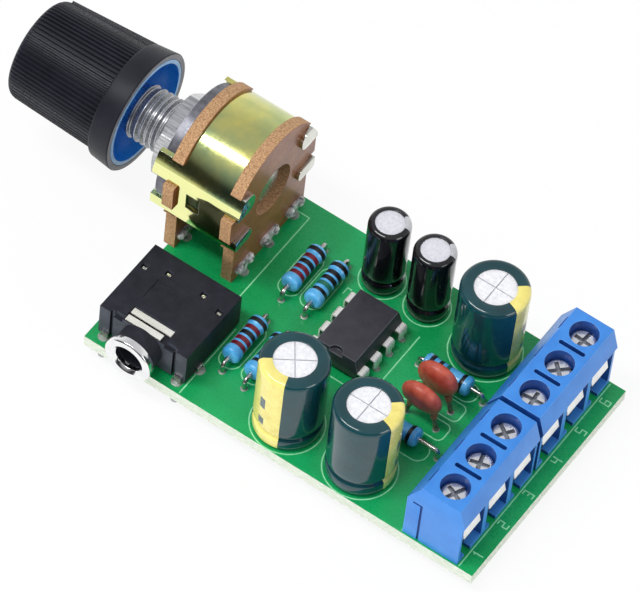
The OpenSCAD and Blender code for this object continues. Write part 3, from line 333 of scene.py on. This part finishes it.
# Paler copy of the black for the knob's end face: painted light
KNOB_LIT_FACE = surface("knob_painted_light_face", (112, 113, 118), (140, 141, 146), 0.5, patch=600, grain=6000, bump=0.2,
                    depth=0.015)
KNOB_BLUE = surface("knob_blue", (20, 140, 248), (38, 158, 255), 0.3, patch=400, grain=5000, bump=0.15)
# Paler copy of the liner's blue for its rim at the open end: painted light
KNOB_LIT_RIM = surface("knob_blue_painted_light_rim", (124, 180, 232), (154, 204, 244), 0.4, patch=700, grain=5000,
                   bump=0.15)

# Building blocks

# Edges sharper than this, in degrees, are rounded and shade as edges; turned pieces have their own limit
SHARP_DEG, LATHE_SHARP_DEG = 32, 40
# Faces flatter than this, in degrees, are joined, and vertices nearer than this, in metres, welded
FLAT_DEG, WELD = 0.6, 1e-7
BEVEL_PROFILE = 0.6
# Bounds how far a printed line's corner reaches at a sharp bend, and steps of a round corner
MITRE_LIMIT, CORNER_STEPS = 0.4, 8


def add_mesh(name, mesh, body, slot, replaced=()):
    """Adds a piece that moves with its body and stands for the CAD nodes given."""
    made = bpy.data.objects.new(name, mesh)
    bpy.context.scene.collection.objects.link(made)
    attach(made, body)
    if replaced:
        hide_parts(*replaced)


def to_mesh(bm, name, materials, smooth_deg=SHARP_DEG):
    """Mesh with smooth faces and sharp edges where the faces meet at more than smooth_deg."""
    bmesh.ops.recalc_face_normals(bm, faces=bm.faces)
    for face in bm.faces:
        face.smooth = True
    limit = math.radians(smooth_deg)
    for edge in bm.edges:
        edge.smooth = len(edge.link_faces) == 2 and edge.calc_face_angle(0.0) < limit
    mesh = bpy.data.meshes.new(name)
    bm.to_mesh(mesh)
    bm.free()
    for material in materials:
        mesh.materials.append(material)
    return mesh


def dress(name, materials, bevel, segments=2, pick=None, lit_edges=False):
    """Stands for a CAD node: the same solid with its hard edges rounded a little.
    pick chooses a face's material from its centre (mm from the board's middle) and its normal.
    With the last argument true, the rounded edges take the last material, a paler copy that paints a
    highlight along them."""
    source = NODES[name]
    materials = materials if isinstance(materials, list) else [materials]
    bm = bmesh.new()
    bm.from_mesh(source.data)
    bmesh.ops.remove_doubles(bm, verts=bm.verts, dist=WELD)
    bmesh.ops.dissolve_limit(bm, angle_limit=math.radians(FLAT_DEG), verts=bm.verts, edges=bm.edges)
    rounded = set()
    if bevel:
        limit = math.radians(SHARP_DEG)
        sharp = [e for e in bm.edges if len(e.link_faces) == 2 and e.calc_face_angle(0.0) > limit]
        made = bmesh.ops.bevel(bm, geom=sharp, offset=bevel * MM, segments=segments,
                               profile=BEVEL_PROFILE, affect="EDGES", clamp_overlap=True, loop_slide=True)
        rounded = set(made["faces"])
    bm.normal_update()
    for face in bm.faces:
        if lit_edges and face in rounded:
            face.material_index = len(materials) - 1
        elif pick:
            face.material_index = pick((face.calc_center_median() - ORIGIN) / MM, face.normal)
        else:
            face.material_index = 0
    bmesh.ops.triangulate(bm, faces=[f for f in bm.faces if len(f.verts) > 4])
    mesh = to_mesh(bm, name + "_look", materials)
    add_mesh(name + "_look", mesh, source["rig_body"], SLOT[name], [name])


def ring_of(bm, place, radius, height, steps):
    """Vertices round an axis, or a single one on it where the radius is nothing."""
    if not radius:
        return [bm.verts.new(place @ Vector((0, 0, height * MM)))]
    turns = [2 * math.pi * k / steps for k in range(steps)]
    points = [Vector((radius * math.cos(turn), radius * math.sin(turn), height)) for turn in turns]
    return [bm.verts.new(place @ (point * MM)) for point in points]


def join_rings(bm, low, high):
    """Faces between two rings, either of which may be a single vertex."""
    steps = max(len(low), len(high))
    faces = []
    for k in range(steps):
        after = (k + 1) % steps
        if len(low) == 1:
            corners = (low[0], high[after], high[k])
        elif len(high) == 1:
            corners = (low[k], low[after], high[0])
        else:
            corners = (low[k], low[after], high[after], high[k])
        faces.append(bm.faces.new(corners))
    return faces


def lathe(name, profile, place, materials, segments, paint):
    """Turned piece that stands for a CAD node of the board: profile holds (radius, height) in mm.
    paint picks a face's material from the number of its ring and its angle in degrees."""
    bm = bmesh.new()
    rings = [ring_of(bm, place, radius, height, segments) for radius, height in profile]
    for i, (low, high) in enumerate(zip(rings, rings[1:])):
        for k, face in enumerate(join_rings(bm, low, high)):
            face.material_index = paint(i, 360 * (k + 0.5) / segments)
    mesh = to_mesh(bm, name + "_look", materials, LATHE_SHARP_DEG)
    add_mesh(name + "_look", mesh, "board", SLOT[name], [name])


def mitred_sides(points, closed, width):
    """Left and right side of a line of the given width through the points."""
    left, right = [], []
    count = len(points)
    for i, point in enumerate(points):
        arriving = (point - points[i - 1]).normalized() if closed or i > 0 else None
        leaving = (points[(i + 1) % count] - point).normalized() if closed or i < count - 1 else None
        arriving, leaving = arriving or leaving, leaving or arriving
        across = Vector((-arriving.y, arriving.x))
        side = (across + Vector((-leaving.y, leaving.x))).normalized()
        reach = width / 2 / max(MITRE_LIMIT, side.dot(across))
        left.append(point + side * reach)
        right.append(point - side * reach)
    return left, right


def ribbon(name, paths, width, height, material):
    """Flat lines printed on the board. A path of (x, y) in mm is closed if it ends where it starts."""
    bm = bmesh.new()
    for path in paths:
        closed = (Vector(path[0]) - Vector(path[-1])).length < 1e-6
        points = [Vector(p) for p in (path[:-1] if closed else path)]
        sides = mitred_sides(points, closed, width)
        low_l, low_r = [[bm.verts.new(at(p.x, p.y)) for p in side] for side in sides]
        top_l, top_r = [[bm.verts.new(at(p.x, p.y, height)) for p in side] for side in sides]
        count = len(points)
        for i in range(count if closed else count - 1):
            j = (i + 1) % count
            bm.faces.new((top_l[i], top_l[j], top_r[j], top_r[i]))
            bm.faces.new((low_l[i], low_r[i], low_r[j], low_l[j]))
            bm.faces.new((low_l[i], low_l[j], top_l[j], top_l[i]))
            bm.faces.new((low_r[i], top_r[i], top_r[j], low_r[j]))
        if not closed:
            bm.faces.new((low_l[0], top_l[0], top_r[0], low_r[0]))
            bm.faces.new((low_l[-1], low_r[-1], top_r[-1], top_l[-1]))
    add_mesh(name, to_mesh(bm, name, [material]), "board", "solder_mask")


def pill_path(x, y, half_x, half_y, corner):
    """Closed outline with round corners."""
    path = []
    for side_x, side_y, start in ((1, 1, 0), (-1, 1, 90), (-1, -1, 180), (1, -1, 270)):
        corner_x, corner_y = x + side_x * (half_x - corner), y + side_y * (half_y - corner)
        path += arc(corner_x, corner_y, corner, start, start + 90, CORNER_STEPS)
    return path + [path[0]]


# Circuit board

# Faces within this distance of the outline, in mm, belong to the cut edge
EDGE_REACH = 0.08


def board_material(centre, normal):
    """Mask on the flat faces, bare glass fibre round the outside, tin in the lead holes."""
    if abs(normal.z) >= 0.5:
        return 0
    outside = HALF_L - abs(centre.x) < EDGE_REACH or HALF_W - abs(centre.y) < EDGE_REACH
    return 1 if outside else 2


dress("circuit_board", [MASK, BOARD_EDGE, PAD], bevel=0.04, segments=1, pick=board_material)
dress("solder_joints", SOLDER, bevel=0.0)

# Solder on top of the board: steps as (reach past the lead, height), then the rim against the lead
FILLET_SIDE = [(0.2, -0.02), (0.14, 0.03), (0.05, 0.07)]
FILLET_RIM_SHARE, FILLET_RIM_Z = 0.8, 0.12
FILLET_STEPS = 24
# Height within which a joint's lowest points make up the lead's tip, and room left round the lead
TIP_Z, LEAD_MARGIN = 0.01, 0.1


def connected_points(bm):
    """The vertices of each solid in the mesh, as points of the layout."""
    seen = set()
    for first in bm.verts:
        if first in seen:
            continue
        group, queue = [], [first]
        seen.add(first)
        while queue:
            vert = queue.pop()
            group.append((vert.co - ORIGIN) / MM)
            for other in [edge.other_vert(vert) for edge in vert.link_edges]:
                if other not in seen:
                    seen.add(other)
                    queue.append(other)
        yield group


def lead_spots():
    """Place and radius of every lead, in mm, read from the clipped ends of the solder joints."""
    bm = bmesh.new()
    bm.from_mesh(NODES["solder_joints"].data)
    bmesh.ops.remove_doubles(bm, verts=bm.verts, dist=WELD)
    spots = []
    for group in connected_points(bm):
        lowest = min(p.z for p in group)
        tip = [p for p in group if p.z < lowest + TIP_Z]
        x, y = sum(p.x for p in tip) / len(tip), sum(p.y for p in tip) / len(tip)
        spots.append((x, y, max(math.hypot(p.x - x, p.y - y) for p in tip) + LEAD_MARGIN))
    bm.free()
    return spots


def solder_fillets():
    """Solder that has risen round the leads on top of the board."""
    bm = bmesh.new()
    for x, y, lead in lead_spots():
        place = Matrix.Translation(at(x, y))
        profile = [(lead + reach, z) for reach, z in FILLET_SIDE] + [(lead * FILLET_RIM_SHARE, FILLET_RIM_Z)]
        rings = [ring_of(bm, place, radius, z, FILLET_STEPS) for radius, z in profile]
        for low, high in zip(rings, rings[1:]):
            join_rings(bm, low, high)
        bm.faces.new(rings[-1])
    add_mesh("solder_fillets", to_mesh(bm, "solder_fillets", [FILLET]), "board", "solder")


solder_fillets()

# Printed outlines: rings round the capacitors, pills round the small parts, corners and lines
LINE_W, LINE_H = 0.16, 0.02
LARGE_RING_R, LARGE_RING_STEPS = 4.36, 72
SMALL_RING_R, SMALL_RING_STEPS = 2.8, 48
# Pills as (x, y, half size along x, half size along y)
RESISTOR_PILLS = [(-12.1, 6.5, 1.4, 3.5), (-9.0, 6.2, 1.4, 3.2), (-11.6, -5.9, 1.4, 3.6),
                  (-8.3, -6.2, 1.4, 3.5), (10.2, -5.55, 3.5, 1.4), (10.2, 4.55, 3.5, 1.35)]
DISC_PILLS = [(10.3, -1.8, 3.45, 1.3), (10.3, 1.45, 3.45, 1.3)]
RESISTOR_CORNER, DISC_CORNER = 1.3, 0.75
JACK_LINE = [(-13.55, -15.6), (-13.55, -4.4)]
CONTROL_CORNER = [(-15.85, -0.4), (-15.85, 13.65), (-26.3, 13.65)]
CHIP_LINES = [[(-6.7, 7.2), (-6.7, 8.2), (-6.1, 8.2)], [(-6.6, -3.2), (3.6, -3.2)],
              [(3.75, -3.0), (3.75, 7.6)]]
TERMINAL_X, TERMINAL_END_Y = (17.0, 24.75), 15.55
# A plain numeral for each terminal pole, as strokes on a grid one wide and two high
NUMERALS = {
    1: [[(0.2, 1.6), (0.6, 2), (0.6, 0)]],
    2: [[(0, 2), (1, 2), (1, 1), (0, 1), (0, 0), (1, 0)]],
    3: [[(0, 2), (1, 2), (1, 0), (0, 0)], [(0.2, 1), (1, 1)]],
    4: [[(0, 2), (0, 1), (1, 1)], [(1, 2), (1, 0)]],
    5: [[(1, 2), (0, 2), (0, 1), (1, 1), (1, 0), (0, 0)]],
    6: [[(1, 2), (0, 2), (0, 0), (1, 0), (1, 1), (0, 1)]],
}
NUMERAL_W, NUMERAL_BASE_X = 0.62, 26.3


def numeral_paths(number):
    """Strokes of a pole's numeral, in line with its screw."""
    low, high = layout_box("terminal_screw_%d" % number)
    first_y = (low.y + high.y - NUMERAL_W) / 2
    return [[(NUMERAL_BASE_X - v * NUMERAL_W, first_y + u * NUMERAL_W) for u, v in stroke]
            for stroke in NUMERALS[number]]


large_spots = [upright("large_capacitor_%d_sleeve" % i)[0] for i in (1, 2, 3)]
small_spots = [upright("small_capacitor_%d_sleeve" % i)[0] for i in (1, 2)]
outlines = [arc(*spot, LARGE_RING_R, 0, 360, LARGE_RING_STEPS) for spot in large_spots]
outlines += [arc(*spot, SMALL_RING_R, 0, 360, SMALL_RING_STEPS) for spot in small_spots]
outlines += [pill_path(*pill, RESISTOR_CORNER) for pill in RESISTOR_PILLS]
outlines += [pill_path(*pill, DISC_CORNER) for pill in DISC_PILLS]
outlines += [JACK_LINE, CONTROL_CORNER, *CHIP_LINES]
outlines += [[(x, -TERMINAL_END_Y), (x, TERMINAL_END_Y)] for x in TERMINAL_X]
for pole in NUMERALS:
    outlines += numeral_paths(pole)
ribbon("printed_outlines", outlines, LINE_W, LINE_H, SILK)

# Chip, bungs and leads

dress("amplifier_chip", [EPOXY, EPOXY_EDGE_HIGHLIGHT], bevel=0.07, lit_edges=True)
dress("chip_leads", TIN_HIGHLIGHT, bevel=0.04, segments=1)
dress("capacitor_bungs", BUNG, bevel=0.05)
dress("capacitor_leads", TIN, bevel=0.0)
dress("resistor_leads", TIN, bevel=0.0)
dress("ceramic_leads", COATED_LEG, bevel=0.0)

# Electrolytic capacitors

# The sleeve's foot, as (change of radius, height), and its lip over the can, as changes of both
SLEEVE_FOOT = [(-0.3, 0.3), (-0.08, 0.4), (0.0, 0.62)]
SLEEVE_LIP = [(0.12, 0.0), (0.03, -0.04), (0.0, -0.15)]
SHOULDER_R, SHOULDER_STEPS = 0.7, 10
# The crimp round the bung: its middle's height, its length and its depth
CRIMP_Z, CRIMP_H, CRIMP_DEPTH, CRIMP_STEPS = 2.3, 1.1, 0.32, 12
SLEEVE_SEGMENTS = 144
# Half width of a minus bar, in mm round the sleeve
BAR_HALF_W = 0.454
# Depths below the sleeve's top between which the faces belong to the scored vent
VENT_TOP, VENT_FLOOR = 0.22, 0.5
# Width of the lip, heights of the minus bars, and materials of the sleeve, its stripe, its bars and the can
LARGE = {"lip": 1.6, "bars": [(3.4, 4.6), (6.4, 8.2)], "sleeve": [SLEEVE_TEAL, STRIPE_GOLD, MARK_GREY],
         "top": CAN_TOP}
SMALL = {"lip": 0.8, "bars": [(3.6, 4.8), (6.4, 7.8)], "sleeve": [SLEEVE_BLACK, STRIPE_GREY, SLEEVE_BLACK],
         "top": SMALL_TOP}
# Each with the middle and the half width of its stripe, in degrees
CAPACITORS = [("large_capacitor_1", LARGE, 251, 36), ("large_capacitor_2", LARGE, 12, 30),
              ("large_capacitor_3", LARGE, 10, 31), ("small_capacitor_1", SMALL, 35, 24),
              ("small_capacitor_2", SMALL, 35, 24)]


def capacitor(name, lip, bars, sleeve, top, stripe_turn, stripe_half):
    """Shrink sleeve with a stripe and plain minus bars on it; the can inside keeps its own solid."""
    spot, radius, height = upright(name + "_sleeve")
    outer = [(radius + grow, z) for grow, z in SLEEVE_FOOT]
    for k in range(CRIMP_STEPS + 1):
        share = k / CRIMP_STEPS
        dent = CRIMP_DEPTH * (1 - math.cos(2 * math.pi * share)) / 2
        outer.append((radius - dent, CRIMP_Z + CRIMP_H * (share - 0.5)))
    outer += [(radius, z) for bar in bars for z in bar]
    outer += arc(radius - SHOULDER_R, height - SHOULDER_R, SHOULDER_R, 0, 90, SHOULDER_STEPS)
    outer += [(radius - lip + grow, height + rise) for grow, rise in SLEEVE_LIP]

    def paint(ring, turn):
        offset = abs((turn - stripe_turn + 180) % 360 - 180)
        middle = (outer[ring][1] + outer[ring + 1][1]) / 2
        if math.radians(offset) * radius < BAR_HALF_W and any(low < middle < high for low, high in bars):
            return 2
        return 1 if offset < stripe_half else 0

    # Faces in the scored vent take the darker copy, painted shade
    def vent_material(centre, normal):
        inside = math.hypot(centre.x - spot[0], centre.y - spot[1]) < radius - lip
        return 1 if inside and height - VENT_FLOOR < centre.z < height - VENT_TOP else 0

    lathe(name + "_sleeve", outer, Matrix.Translation(at(*spot)), sleeve, SLEEVE_SEGMENTS, paint)
    dress(name + "_can", [top, VENT_GROOVE_SHADE], bevel=0.0, pick=vent_material)


for name, kind, stripe_turn, stripe_half in CAPACITORS:
    capacitor(name, **kind, stripe_turn=stripe_turn, stripe_half=stripe_half)

# Resistors

RESISTOR_MATERIALS = [RESISTOR, BAND_RED, BAND_BLACK, BAND_GREEN]
RED, BLACK, GREEN = 1, 2, 3
# Bands from the first end, as (start, width, material) along the body
LONG_BANDS = [(1.2, 0.64, RED), (2.15, 0.64, RED), (3.1, 0.64, BLACK), (4.05, 0.64, RED), (5.2, 0.6, BLACK)]
OTHER_BANDS = [(1.15, 0.55, BLACK), (2.15, 0.64, GREEN), (3.1, 0.64, BLACK), (4.05, 0.64, BLACK),
               (5.2, 0.6, BLACK)]
SHORT_BANDS = [(0.7, 0.5, BLACK), (1.8, 0.5, BLACK), (2.8, 0.5, GREEN), (5.0, 0.5, BLACK)]
# Turn of each resistor about the upright axis, in degrees, and its bands
RESISTORS = [(90, LONG_BANDS), (90, OTHER_BANDS), (90, LONG_BANDS), (90, OTHER_BANDS), (0, SHORT_BANDS),
             (0, SHORT_BANDS)]
first_low, first_high = layout_box("resistor_1")
BODY_L, BODY_R = snap(first_high.y - first_low.y), snap((first_high.z - first_low.z) / 2)
# Each end has a round edge, then a bulged cap that falls to the slimmer middle
ROUND_R, CAP_L, FALL_L, SLIM_SHARE = 0.45, 0.9, 0.6, 0.14
ROUND_STEPS, FALL_STEPS, RESISTOR_SEGMENTS = 8, 6, 48


def resistor_radius(s):
    """Radius at s mm from the nearer end."""
    if s < ROUND_R:
        return BODY_R - ROUND_R + math.sqrt(max(0.0, ROUND_R * ROUND_R - (ROUND_R - s) ** 2))
    fall = min(1.0, max(0.0, (s - CAP_L) / FALL_L))
    return BODY_R * (1 - SLIM_SHARE * (1 - math.cos(math.pi * fall)) / 2)


def resistor(name, turn, bands):
    """Dipped body with painted bands."""
    ends = [ROUND_R * (1 - math.cos(math.pi / 2 * k / ROUND_STEPS)) for k in range(ROUND_STEPS + 1)]
    ends += [CAP_L + FALL_L * k / FALL_STEPS for k in range(FALL_STEPS + 1)]
    band_edges = [s for start, width, kind in bands for s in (start, start + width)]
    cuts = sorted({round(s, 3) for s in ends + [BODY_L - s for s in ends] + band_edges})
    profile = [(0.0, -BODY_L / 2)]
    profile += [(resistor_radius(min(s, BODY_L - s)), s - BODY_L / 2) for s in cuts]
    profile += [(0.0, BODY_L / 2)]

    def paint(ring, angle):
        middle = (profile[ring][1] + profile[ring + 1][1] + BODY_L) / 2
        return next((kind for start, width, kind in bands if start < middle < start + width), 0)

    low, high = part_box(name)
    lying = Matrix.Rotation(math.radians(turn), 4, "Z") @ Matrix.Rotation(math.pi / 2, 4, "Y")
    place = Matrix.Translation((low + high) / 2) @ lying
    lathe(name, profile, place, RESISTOR_MATERIALS, RESISTOR_SEGMENTS, paint)


for i, (turn, bands) in enumerate(RESISTORS, start=1):
    resistor("resistor_%d" % i, turn, bands)

for i in (1, 2):
    dress("ceramic_capacitor_%d" % i, DIPPED, bevel=0.0)

# Jack


def jack_material(centre, normal):
    """The moulding's front faces take a paler copy of its satin nylon: painted light on the side that looks
    to the front.
    """
    return 1 if normal.y < -FACING else 0


dress("jack_housing", [JACK, JACK_LIT_FRONT, JACK_EDGE_HIGHLIGHT], bevel=0.05, pick=jack_material, lit_edges=True)
dress("jack_ring", CHROME, bevel=0.05)
dress("jack_springs", SPRING, bevel=0.06)
dress("jack_contacts", TIN, bevel=0.04, segments=1)

# Screw terminals

BLOCK_LOW, BLOCK_HIGH = layout_box("terminal_block_1")
OUTER_Y = abs(BLOCK_LOW.y)
# Depth of the lip round the wire entries, and heights above the board of the front's slope and the sill
LIP_X, SLOPE_Z, SILL_Z = 0.25, 6.0, 0.8
# Least parts of the normals of the leaning back and of the sloped front
LEAN_BACK, SLOPE_OUT, SLOPE_UP = 0.3, 0.5, 0.2
# A screw's slots lie between these depths below its top, and clear of the head's rim
SLOT_TOP, SLOT_DEPTH, SLOT_MARGIN = 0.1, 0.6, 0.2


def block_material(centre, normal):
    """Outer faces keep the plain blue; wells, slots, entries and the gap between the blocks take a darker
    copy, painted shade in these recesses.
    """
    behind = centre.x < BLOCK_LOW.x + NEAR or (normal.x < -LEAN_BACK and normal.z > LEAN_BACK)
    slope = normal.x > SLOPE_OUT and abs(normal.z) > SLOPE_UP and centre.z > SLOPE_Z
    face = normal.x > FACING and centre.x > BLOCK_HIGH.x - LIP_X - NEAR
    sill = normal.z > FACING and centre.z < SILL_Z
    outer = centre.z > BLOCK_HIGH.z - NEAR or abs(centre.y) > OUTER_Y - NEAR
    return 0 if behind or slope or face or sill or outer else 1


def slot_picker(name):
    """Picker that tells the crossed slots of a screw's drive from the head; the slots take a darker copy,
    painted shade.
    """
    low, high = layout_box(name)
    middle = (low + high) / 2
    reach = (high.x - low.x) / 2 - SLOT_MARGIN

    def pick(centre, normal):
        inside = math.hypot(centre.x - middle.x, centre.y - middle.y) < reach
        return 1 if inside and -SLOT_DEPTH - NEAR < centre.z - high.z < -SLOT_TOP else 0

    return pick


for i in (1, 2):
    dress("terminal_block_%d" % i, [BLUE, BLUE_SHADE, BLUE_EDGE_HIGHLIGHT], bevel=0.05, pick=block_material, lit_edges=True)
for pole in NUMERALS:
    screw = "terminal_screw_%d" % pole
    dress(screw, [ZINC, SCREW_SLOT_SHADE], bevel=0.05, pick=slot_picker(screw))
    dress("wire_guard_%d" % pole, GUARD, bevel=0.04)
dress("terminal_clamps", TIN, bevel=0.05)

# Volume control

WAFER_FRONT = layout_box("pot_rear_wafer")[0].x
PLATE_FRONT = layout_box("pot_washer")[1].x
KNOB_OPEN = layout_box("knob_body")[1].x
RIM_DEPTH = 0.3
# Least parts of the normals of a wafer's faces and of the can's flat sides
WAFER_FACE, CAN_SIDE = 0.6, 0.88


def wafer_material(centre, normal):
    """Smooth faces and rough cut edges."""
    return 0 if abs(normal.x) > WAFER_FACE else 1


def can_material(centre, normal):
    """The tabs over the rear wafer show bare steel, and the flat sides take the palest copy of the plate, a
    painted reflection of the bright floor.
    """
    if centre.x > WAFER_FRONT - HAIR:
        return 1
    return 2 if abs(normal.y) > CAN_SIDE else 0


def bushing_material(centre, normal):
    """The thread stands in front of the cast plate."""
    return 1 if centre.x > PLATE_FRONT - HAIR else 0


def open_end(centre, normal):
    """Faces that look out of the knob's open end, at its rim; they take a paler copy, painted light."""
    return 1 if normal.x > FACING and centre.x > KNOB_OPEN - RIM_DEPTH else 0


dress("pot_can", [PLATED, STEEL, PLATED_SIDE_REFLECTION, PLATED_EDGE_HIGHLIGHT], bevel=0.1, pick=can_material, lit_edges=True)
for wafer in ("pot_rear_wafer", "pot_front_wafer"):
    dress(wafer, [PHENOLIC, PHENOLIC_EDGE], bevel=0.06, segments=1, pick=wafer_material)
dress("pot_bushing", [THREAD, CAST, THREAD_CREST_HIGHLIGHT], bevel=0.04, segments=1, pick=bushing_material, lit_edges=True)
dress("pot_washer", NICKEL, bevel=0.05)
dress("pot_nut", NICKEL, bevel=0.08)
dress("pot_shaft", SHAFT, bevel=0.0)
dress("pot_front_rotor", IVORY, bevel=0.05)
dress("pot_rear_rotor", IVORY, bevel=0.05)
dress("pot_terminals", LUG_GLINTS, bevel=0.06)
dress("knob_body", [KNOB, KNOB_LIT_FACE, KNOB_EDGE_HIGHLIGHT], bevel=0.07, segments=1, pick=open_end, lit_edges=True)
dress("knob_liner", [KNOB_BLUE, KNOB_LIT_RIM], bevel=0.05, pick=open_end)

# Floor, light and camera

# In metres, the floor's side and its distance below the part, and the point that the lights look at
FLOOR_SIZE, FLOOR_GAP = 8, 0.00002
LIGHT_TARGET = Vector((0, 0, 0.005))
FLOOR_GREY, FLOOR_ROUGH, FLOOR_GLOW = 0.92, 0.9, 0.9
# Parts of the view's direction along y and z over which the room's tones change
BACK_RANGE, CEILING_RANGE = (-0.5, 0.45), (0.35, 0.75)


def stage_floor():
    """Pale floor that stays near white in the picture and in reflections, and still takes a soft shadow."""
    bpy.ops.mesh.primitive_plane_add(size=FLOOR_SIZE, location=(0, 0, cad_box[0][2] - FLOOR_GAP))
    floor = bpy.context.object
    floor.name = "floor"
    made = bpy.data.materials.new("pale_floor")
    made.use_nodes = True
    tree = made.node_tree
    shader = tree.nodes["Principled BSDF"]
    shader.inputs["Base Color"].default_value = (FLOOR_GREY, FLOOR_GREY, FLOOR_GREY, 1)
    shader.inputs["Roughness"].default_value = FLOOR_ROUGH
    shader.inputs["Specular IOR Level"].default_value = 0.0
    glow = node(tree, "ShaderNodeEmission", Color=(1, 1, 1, 1), Strength=1.0)
    path = tree.nodes.new("ShaderNodeLightPath")
    seen = combine(tree, "MAXIMUM", path.outputs["Is Camera Ray"], path.outputs["Is Glossy Ray"])
    seen = combine(tree, "MAXIMUM", seen, path.outputs["Is Transmission Ray"])
    mix = tree.nodes.new("ShaderNodeMixShader")
    tree.links.new(combine(tree, "MULTIPLY", seen, FLOOR_GLOW), mix.inputs[0])
    tree.links.new(shader.outputs[0], mix.inputs[1])
    tree.links.new(glow.outputs[0], mix.inputs[2])
    tree.links.new(mix.outputs[0], tree.nodes["Material Output"].inputs["Surface"])
    floor.data.materials.append(made)


def softbox(name, location, size, power, along):
    """Area light that looks at the part, with its first side along the given direction."""
    light = bpy.data.lights.new(name, "AREA")
    light.shape = "RECTANGLE"
    light.size, light.size_y = size
    light.energy = power
    made = bpy.data.objects.new(name, light)
    back = (Vector(location) - LIGHT_TARGET).normalized()
    up = back.cross(Vector(along)).normalized()
    turn = Matrix((up.cross(back), up, back)).transposed().to_4x4()
    made.matrix_world = Matrix.Translation(location) @ turn
    bpy.context.scene.collection.objects.link(made)
    return made


def studio_world():
    """Room with a bright back, a dark side behind the camera and a grey ceiling."""
    dark, bright, ceiling = (0.03, 0.03, 0.033, 1.0), (0.85, 0.85, 0.85, 1.0), (0.58, 0.58, 0.6, 1.0)
    world = bpy.data.worlds.new("studio")
    world.use_nodes = True
    tree = world.node_tree
    background = tree.nodes["Background"]
    background.inputs["Strength"].default_value = 1.0
    coords = tree.nodes.new("ShaderNodeTexCoord")
    split = tree.nodes.new("ShaderNodeSeparateXYZ")
    tree.links.new(coords.outputs["Generated"], split.inputs[0])
    sides = blend_colours(tree, remap(tree, split.outputs["Y"], 0, 1, BACK_RANGE), dark, bright)
    room = blend_colours(tree, remap(tree, split.outputs["Z"], 0, 1, CEILING_RANGE), sides, ceiling)
    tree.links.new(room, background.inputs["Color"])
    bpy.context.scene.world = world


stage_floor()
softbox("key_softbox", location=(-0.24, -0.27, 0.77), size=(0.5, 0.12), power=3.6, along=(1, 0, 0))
softbox("right_softbox", location=(0.7, -0.1, 0.35), size=(0.3, 0.3), power=1.1, along=(0, 1, 0))
# Lights the front faces without a mirror image on the bright metal
front_fill = softbox("front_fill", location=(-0.15, -0.8, 0.22), size=(0.4, 0.3), power=2.8,
                     along=(1, 0, 0))
front_fill.visible_glossy = False
studio_world()

# The photo's camera: the point of the board's top that it looks at and its distance, in mm, the angles
# of its view, in degrees, and its focal length in pixels of a picture of the photo's width
AIM_X, AIM_Y, DISTANCE = -8.5791, 5.2965, 701.05
HEADING_DEG, DOWN_DEG, ROLL_DEG = 118.79037, 54.30411, 7.29405
FOCAL_PX, PICTURE_PX, SENSOR_MM = 6108.5, 640, 36.0
camera = bpy.data.cameras.new("photo_angle")
camera.sensor_width = SENSOR_MM
camera.lens = SENSOR_MM * FOCAL_PX / PICTURE_PX
camera.clip_end = 20
eye = bpy.data.objects.new("photo_angle", camera)
bpy.context.scene.collection.objects.link(eye)
view = Matrix.Rotation(math.radians(HEADING_DEG - 90), 4, "Z")
view @= Matrix.Rotation(math.radians(90 - DOWN_DEG), 4, "X")
view @= Matrix.Rotation(math.radians(ROLL_DEG), 4, "Z")
eye.matrix_world = Matrix.Translation(at(AIM_X, AIM_Y)) @ view @ Matrix.Translation((0, 0, DISTANCE * MM))
bpy.context.scene.camera = eye
bpy.context.scene.view_settings.view_transform = "Standard"
